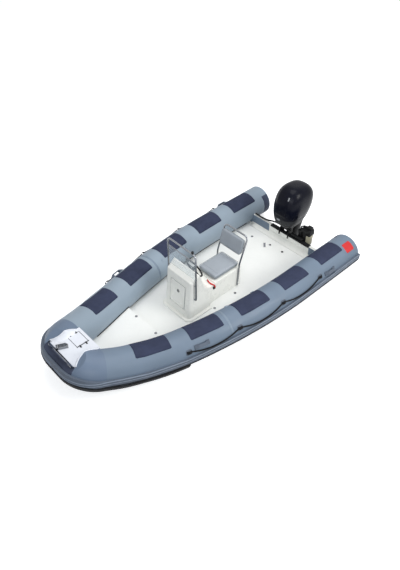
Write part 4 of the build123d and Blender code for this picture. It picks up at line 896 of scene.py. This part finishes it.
can_low, can_high = (Vector(v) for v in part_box("filter_canister"))
can_x, can_y = (can_low.x + can_high.x) / 2, (can_low.y + can_high.y) / 2
CAN_TALLER, CAN_EYE = 0.03, 0.004         # taller than its solid; radius of the closing discs
can_tall, can_r = can_high.z - can_low.z + CAN_TALLER, (can_high.x - can_low.x) / 2
foot_rows = [(CAN_EYE, 0), (can_r * 0.45, 0.002), (can_r * 0.8, 0.010), (can_r * 0.97, 0.030), (can_r, 0.045)]
collar_rows = [(can_r, can_tall - 0.035), (can_r, can_tall - 0.030), (can_r * 1.04, can_tall - 0.026),
               (can_r * 1.04, can_tall - 0.016), (can_r * 0.98, can_tall - 0.010), (can_r * 0.97, can_tall),
               (CAN_EYE, can_tall)]
can = piece("canister_shell", *turned_part(foot_rows + collar_rows, at(can_x, can_y, can_low.z), 48),
            OLIVE, "boat", "canister")
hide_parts("filter_canister")

# sizes, roundings and places of the head's blocks, from the canister's axis and top
head_front, top = Vector(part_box("filter_head")[1]).x, can_high.z + CAN_TALLER
neck = rounded_box((0.128, 0.140, 0.040), 0.012, at(can_x, can_y - 0.01, top + 0.020))
block = rounded_box((0.124, 0.180, 0.070), 0.016, at(can_x + 0.01, can_y - 0.025, top + 0.072, rx=7))
cap = rounded_box((0.080, 0.090, 0.050), 0.014, at(can_x, can_y + 0.005, top + 0.125))
plate = rounded_box((0.010, 0.060, top + 0.045 - 0.10), 0.003,
                    at(head_front - 0.005, can_y - 0.03, (top + 0.145) / 2))
bulb = rounded_box((0.060, 0.070, 0.160), 0.014, at(can_x + 0.035, can_y - 0.125, 0.330, rx=12))
HOSE_R = 0.012
hose_route = [(can_x, can_y - 0.04, top + 0.10), (can_x, can_y - 0.10, top + 0.112),
              (can_x + 0.004, can_y - 0.15, top + 0.080), (can_x + 0.02, can_y - 0.165, top - 0.01),
              (can_x + 0.03, can_y - 0.167, top - 0.09), (can_x + 0.032, can_y - 0.167, 0.13)]
filter_head = piece("filter_bracket", *joined([neck, block, cap, plate, bulb, hose(hose_route, HOSE_R, 12)]),
                    SATIN, "boat", "black_plastic")
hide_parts("filter_head")
tray = rounded_box((0.046, 0.24, 0.044), 0.012, at(-1.982, 0.240, 0.283))
piece("rigging_tray", *tray, SATIN, "boat", "black_plastic")


# -------------------- helm and console details

FRONT_FOOT, FRONT_RAKE, FRONT_TALL, FRONT_LEAN = 0.375, 0.070, 0.660, 6.05
DOOR_LOW, DOOR_HIGH, DOOR_SIDE, DOOR_OUT = 0.205, 0.595, 0.150, 0.0015
RIM_IN, RIM_CORNER, RIM_R = 0.010, 0.035, 0.0075
DOOR_GAP, GAP_CORNER, GAP_DOWN, GAP_R = 0.001, 0.012, 0.0005, 0.0022
LATCH_SPOT = (0.010, 0.455)
LATCH_ROWS = ((0.004, 0), (0.024, 0), (0.026, 0.003), (0.022, 0.007), (0.012, 0.008), (0.003, 0.0085))
CLIP_ROUTE = ((-0.160, 0.080, 0.395), (-0.143, 0.125, 0.395), (-0.141, 0.170, 0.395),
              (-0.151, 0.212, 0.396), (-0.163, 0.236, 0.388), (-0.165, 0.238, 0.358))
CLIP_R = 0.0105


def on_front(y, z, lift=0.0):
    """Matrix on the console's front face, its z out of the face."""
    x = FRONT_FOOT - FRONT_RAKE * (z - DECK) / FRONT_TALL
    return at(x, y, z) @ Matrix.Rotation(radians(90 - FRONT_LEAN), 4, "Y") @ Matrix.Translation((0, 0, lift))


door_half = (DOOR_HIGH - DOOR_LOW) / 2
door_frame = on_front(0, (DOOR_LOW + DOOR_HIGH) / 2, DOOR_OUT)
rim = hose(corner_loop(door_half - RIM_IN, DOOR_SIDE - RIM_IN, RIM_CORNER, door_frame, 0), RIM_R, 10, True)
piece("door_rim", *rim, GELCOAT, "console_door", "gelcoat")
# grey line sunk in the door's gap: painted shadow of the gap
gap_shadow = hose(corner_loop(door_half + DOOR_GAP, DOOR_SIDE + DOOR_GAP, GAP_CORNER, door_frame, -GAP_DOWN),
            GAP_R, 8, True)
piece("door_gap_shadow", *gap_shadow, VINYL_DARK, "console_door", "dark_trim")
piece("door_latch", *turned_part(LATCH_ROWS, on_front(*LATCH_SPOT), 32), CAST, "console_door", "stainless")
piece("kill_clip", *hose(smooth_line(CLIP_ROUTE), CLIP_R, 12), RED, "boat", "red_plastic")


# -------------------- studio

FLOOR_SEEN, FLOOR_BOUNCE, FLOOR_GLOW, FLOOR_HALF = (0.9, 0.9, 0.9, 1), (0.13, 0.135, 0.15, 1), 0.55, 40
WORLD_LIT, WORLD_LEVEL, WORLD_SEEN = (0.93, 0.96, 1.0, 1), 0.50, (1, 1, 1, 1)
# name, place, point it looks at, width, power, colour
LAMPS = (("sky", (-1.0, 0.5, 8.0), (0, 0, 0), 7.0, 340, (1, 1, 1)),
         ("key", (-3.0, 7.0, 5.0), (-0.3, 0, 0.3), 3.5, 330, (1.0, 0.99, 0.96)),
         ("fill", (6.0, 5.0, 4.0), (0, 0, 0.3), 4.0, 150, (0.95, 0.98, 1.0)))


def seen_directly(nodes, link, path):
    """Socket that is 1 for camera, mirror and see-through rays."""
    value = path.outputs["Is Camera Ray"]
    for name in ("Is Glossy Ray", "Is Transmission Ray"):
        either = nodes.new("ShaderNodeMath")
        either.operation = "MAXIMUM"
        link(value, either.inputs[0])
        link(path.outputs[name], either.inputs[1])
        value = either.outputs[0]
    return value


def floor_material():
    """Pale floor: white to the camera, and a weaker bounce for the light."""
    made = bpy.data.materials.new("studio_floor")
    made.use_nodes = True
    nodes, link = made.node_tree.nodes, made.node_tree.links.new
    nodes.clear()
    out = nodes.new("ShaderNodeOutputMaterial")
    seen, bounce = nodes.new("ShaderNodeBsdfDiffuse"), nodes.new("ShaderNodeBsdfDiffuse")
    seen.inputs["Color"].default_value = FLOOR_SEEN
    bounce.inputs["Color"].default_value = FLOOR_BOUNCE
    glow = nodes.new("ShaderNodeEmission")
    glow.inputs["Strength"].default_value = FLOOR_GLOW
    added, mix = nodes.new("ShaderNodeAddShader"), nodes.new("ShaderNodeMixShader")
    path = nodes.new("ShaderNodeLightPath")
    link(seen.outputs[0], added.inputs[0])
    link(glow.outputs[0], added.inputs[1])
    link(seen_directly(nodes, link, path), mix.inputs[0])
    link(bounce.outputs[0], mix.inputs[1])
    link(added.outputs[0], mix.inputs[2])
    link(mix.outputs[0], out.inputs["Surface"])
    return made


floor_mesh = bpy.data.meshes.new("floor")
corners = [(x * FLOOR_HALF, y * FLOOR_HALF, 0) for x, y in ((-1, -1), (1, -1), (1, 1), (-1, 1))]
floor_mesh.from_pydata(corners, [], [(0, 1, 2, 3)])
floor_mesh.materials.append(floor_material())
floor = bpy.data.objects.new("floor", floor_mesh)
bpy.context.scene.collection.objects.link(floor)

world = bpy.data.worlds.new("studio")
world.use_nodes = True
world_nodes, world_link = world.node_tree.nodes, world.node_tree.links.new
lit = world_nodes["Background"]
lit.inputs["Color"].default_value = WORLD_LIT
lit.inputs["Strength"].default_value = WORLD_LEVEL
white = world_nodes.new("ShaderNodeBackground")
white.inputs["Color"].default_value = WORLD_SEEN
white.inputs["Strength"].default_value = 1.0
chosen = world_nodes.new("ShaderNodeMixShader")
rays = world_nodes.new("ShaderNodeLightPath")
world_link(seen_directly(world_nodes, world_link, rays), chosen.inputs[0])
world_link(lit.outputs[0], chosen.inputs[1])
world_link(white.outputs[0], chosen.inputs[2])
world_link(chosen.outputs[0], world_nodes["World Output"].inputs["Surface"])
bpy.context.scene.world = world


def softbox(name, spot, aim, size, power, colour):
    """Round area light at a spot, turned towards a point."""
    lamp = bpy.data.lights.new(name, "AREA")
    lamp.shape, lamp.size, lamp.energy, lamp.color = "DISK", size, power, colour
    made = bpy.data.objects.new(name, lamp)
    made.matrix_world = Matrix.Translation(spot) @ (
        Vector(aim) - Vector(spot)).to_track_quat("-Z", "Y").to_matrix().to_4x4()
    bpy.context.scene.collection.objects.link(made)


for lamp_row in LAMPS:
    softbox(*lamp_row)
bpy.context.scene.view_settings.view_transform = "Standard"
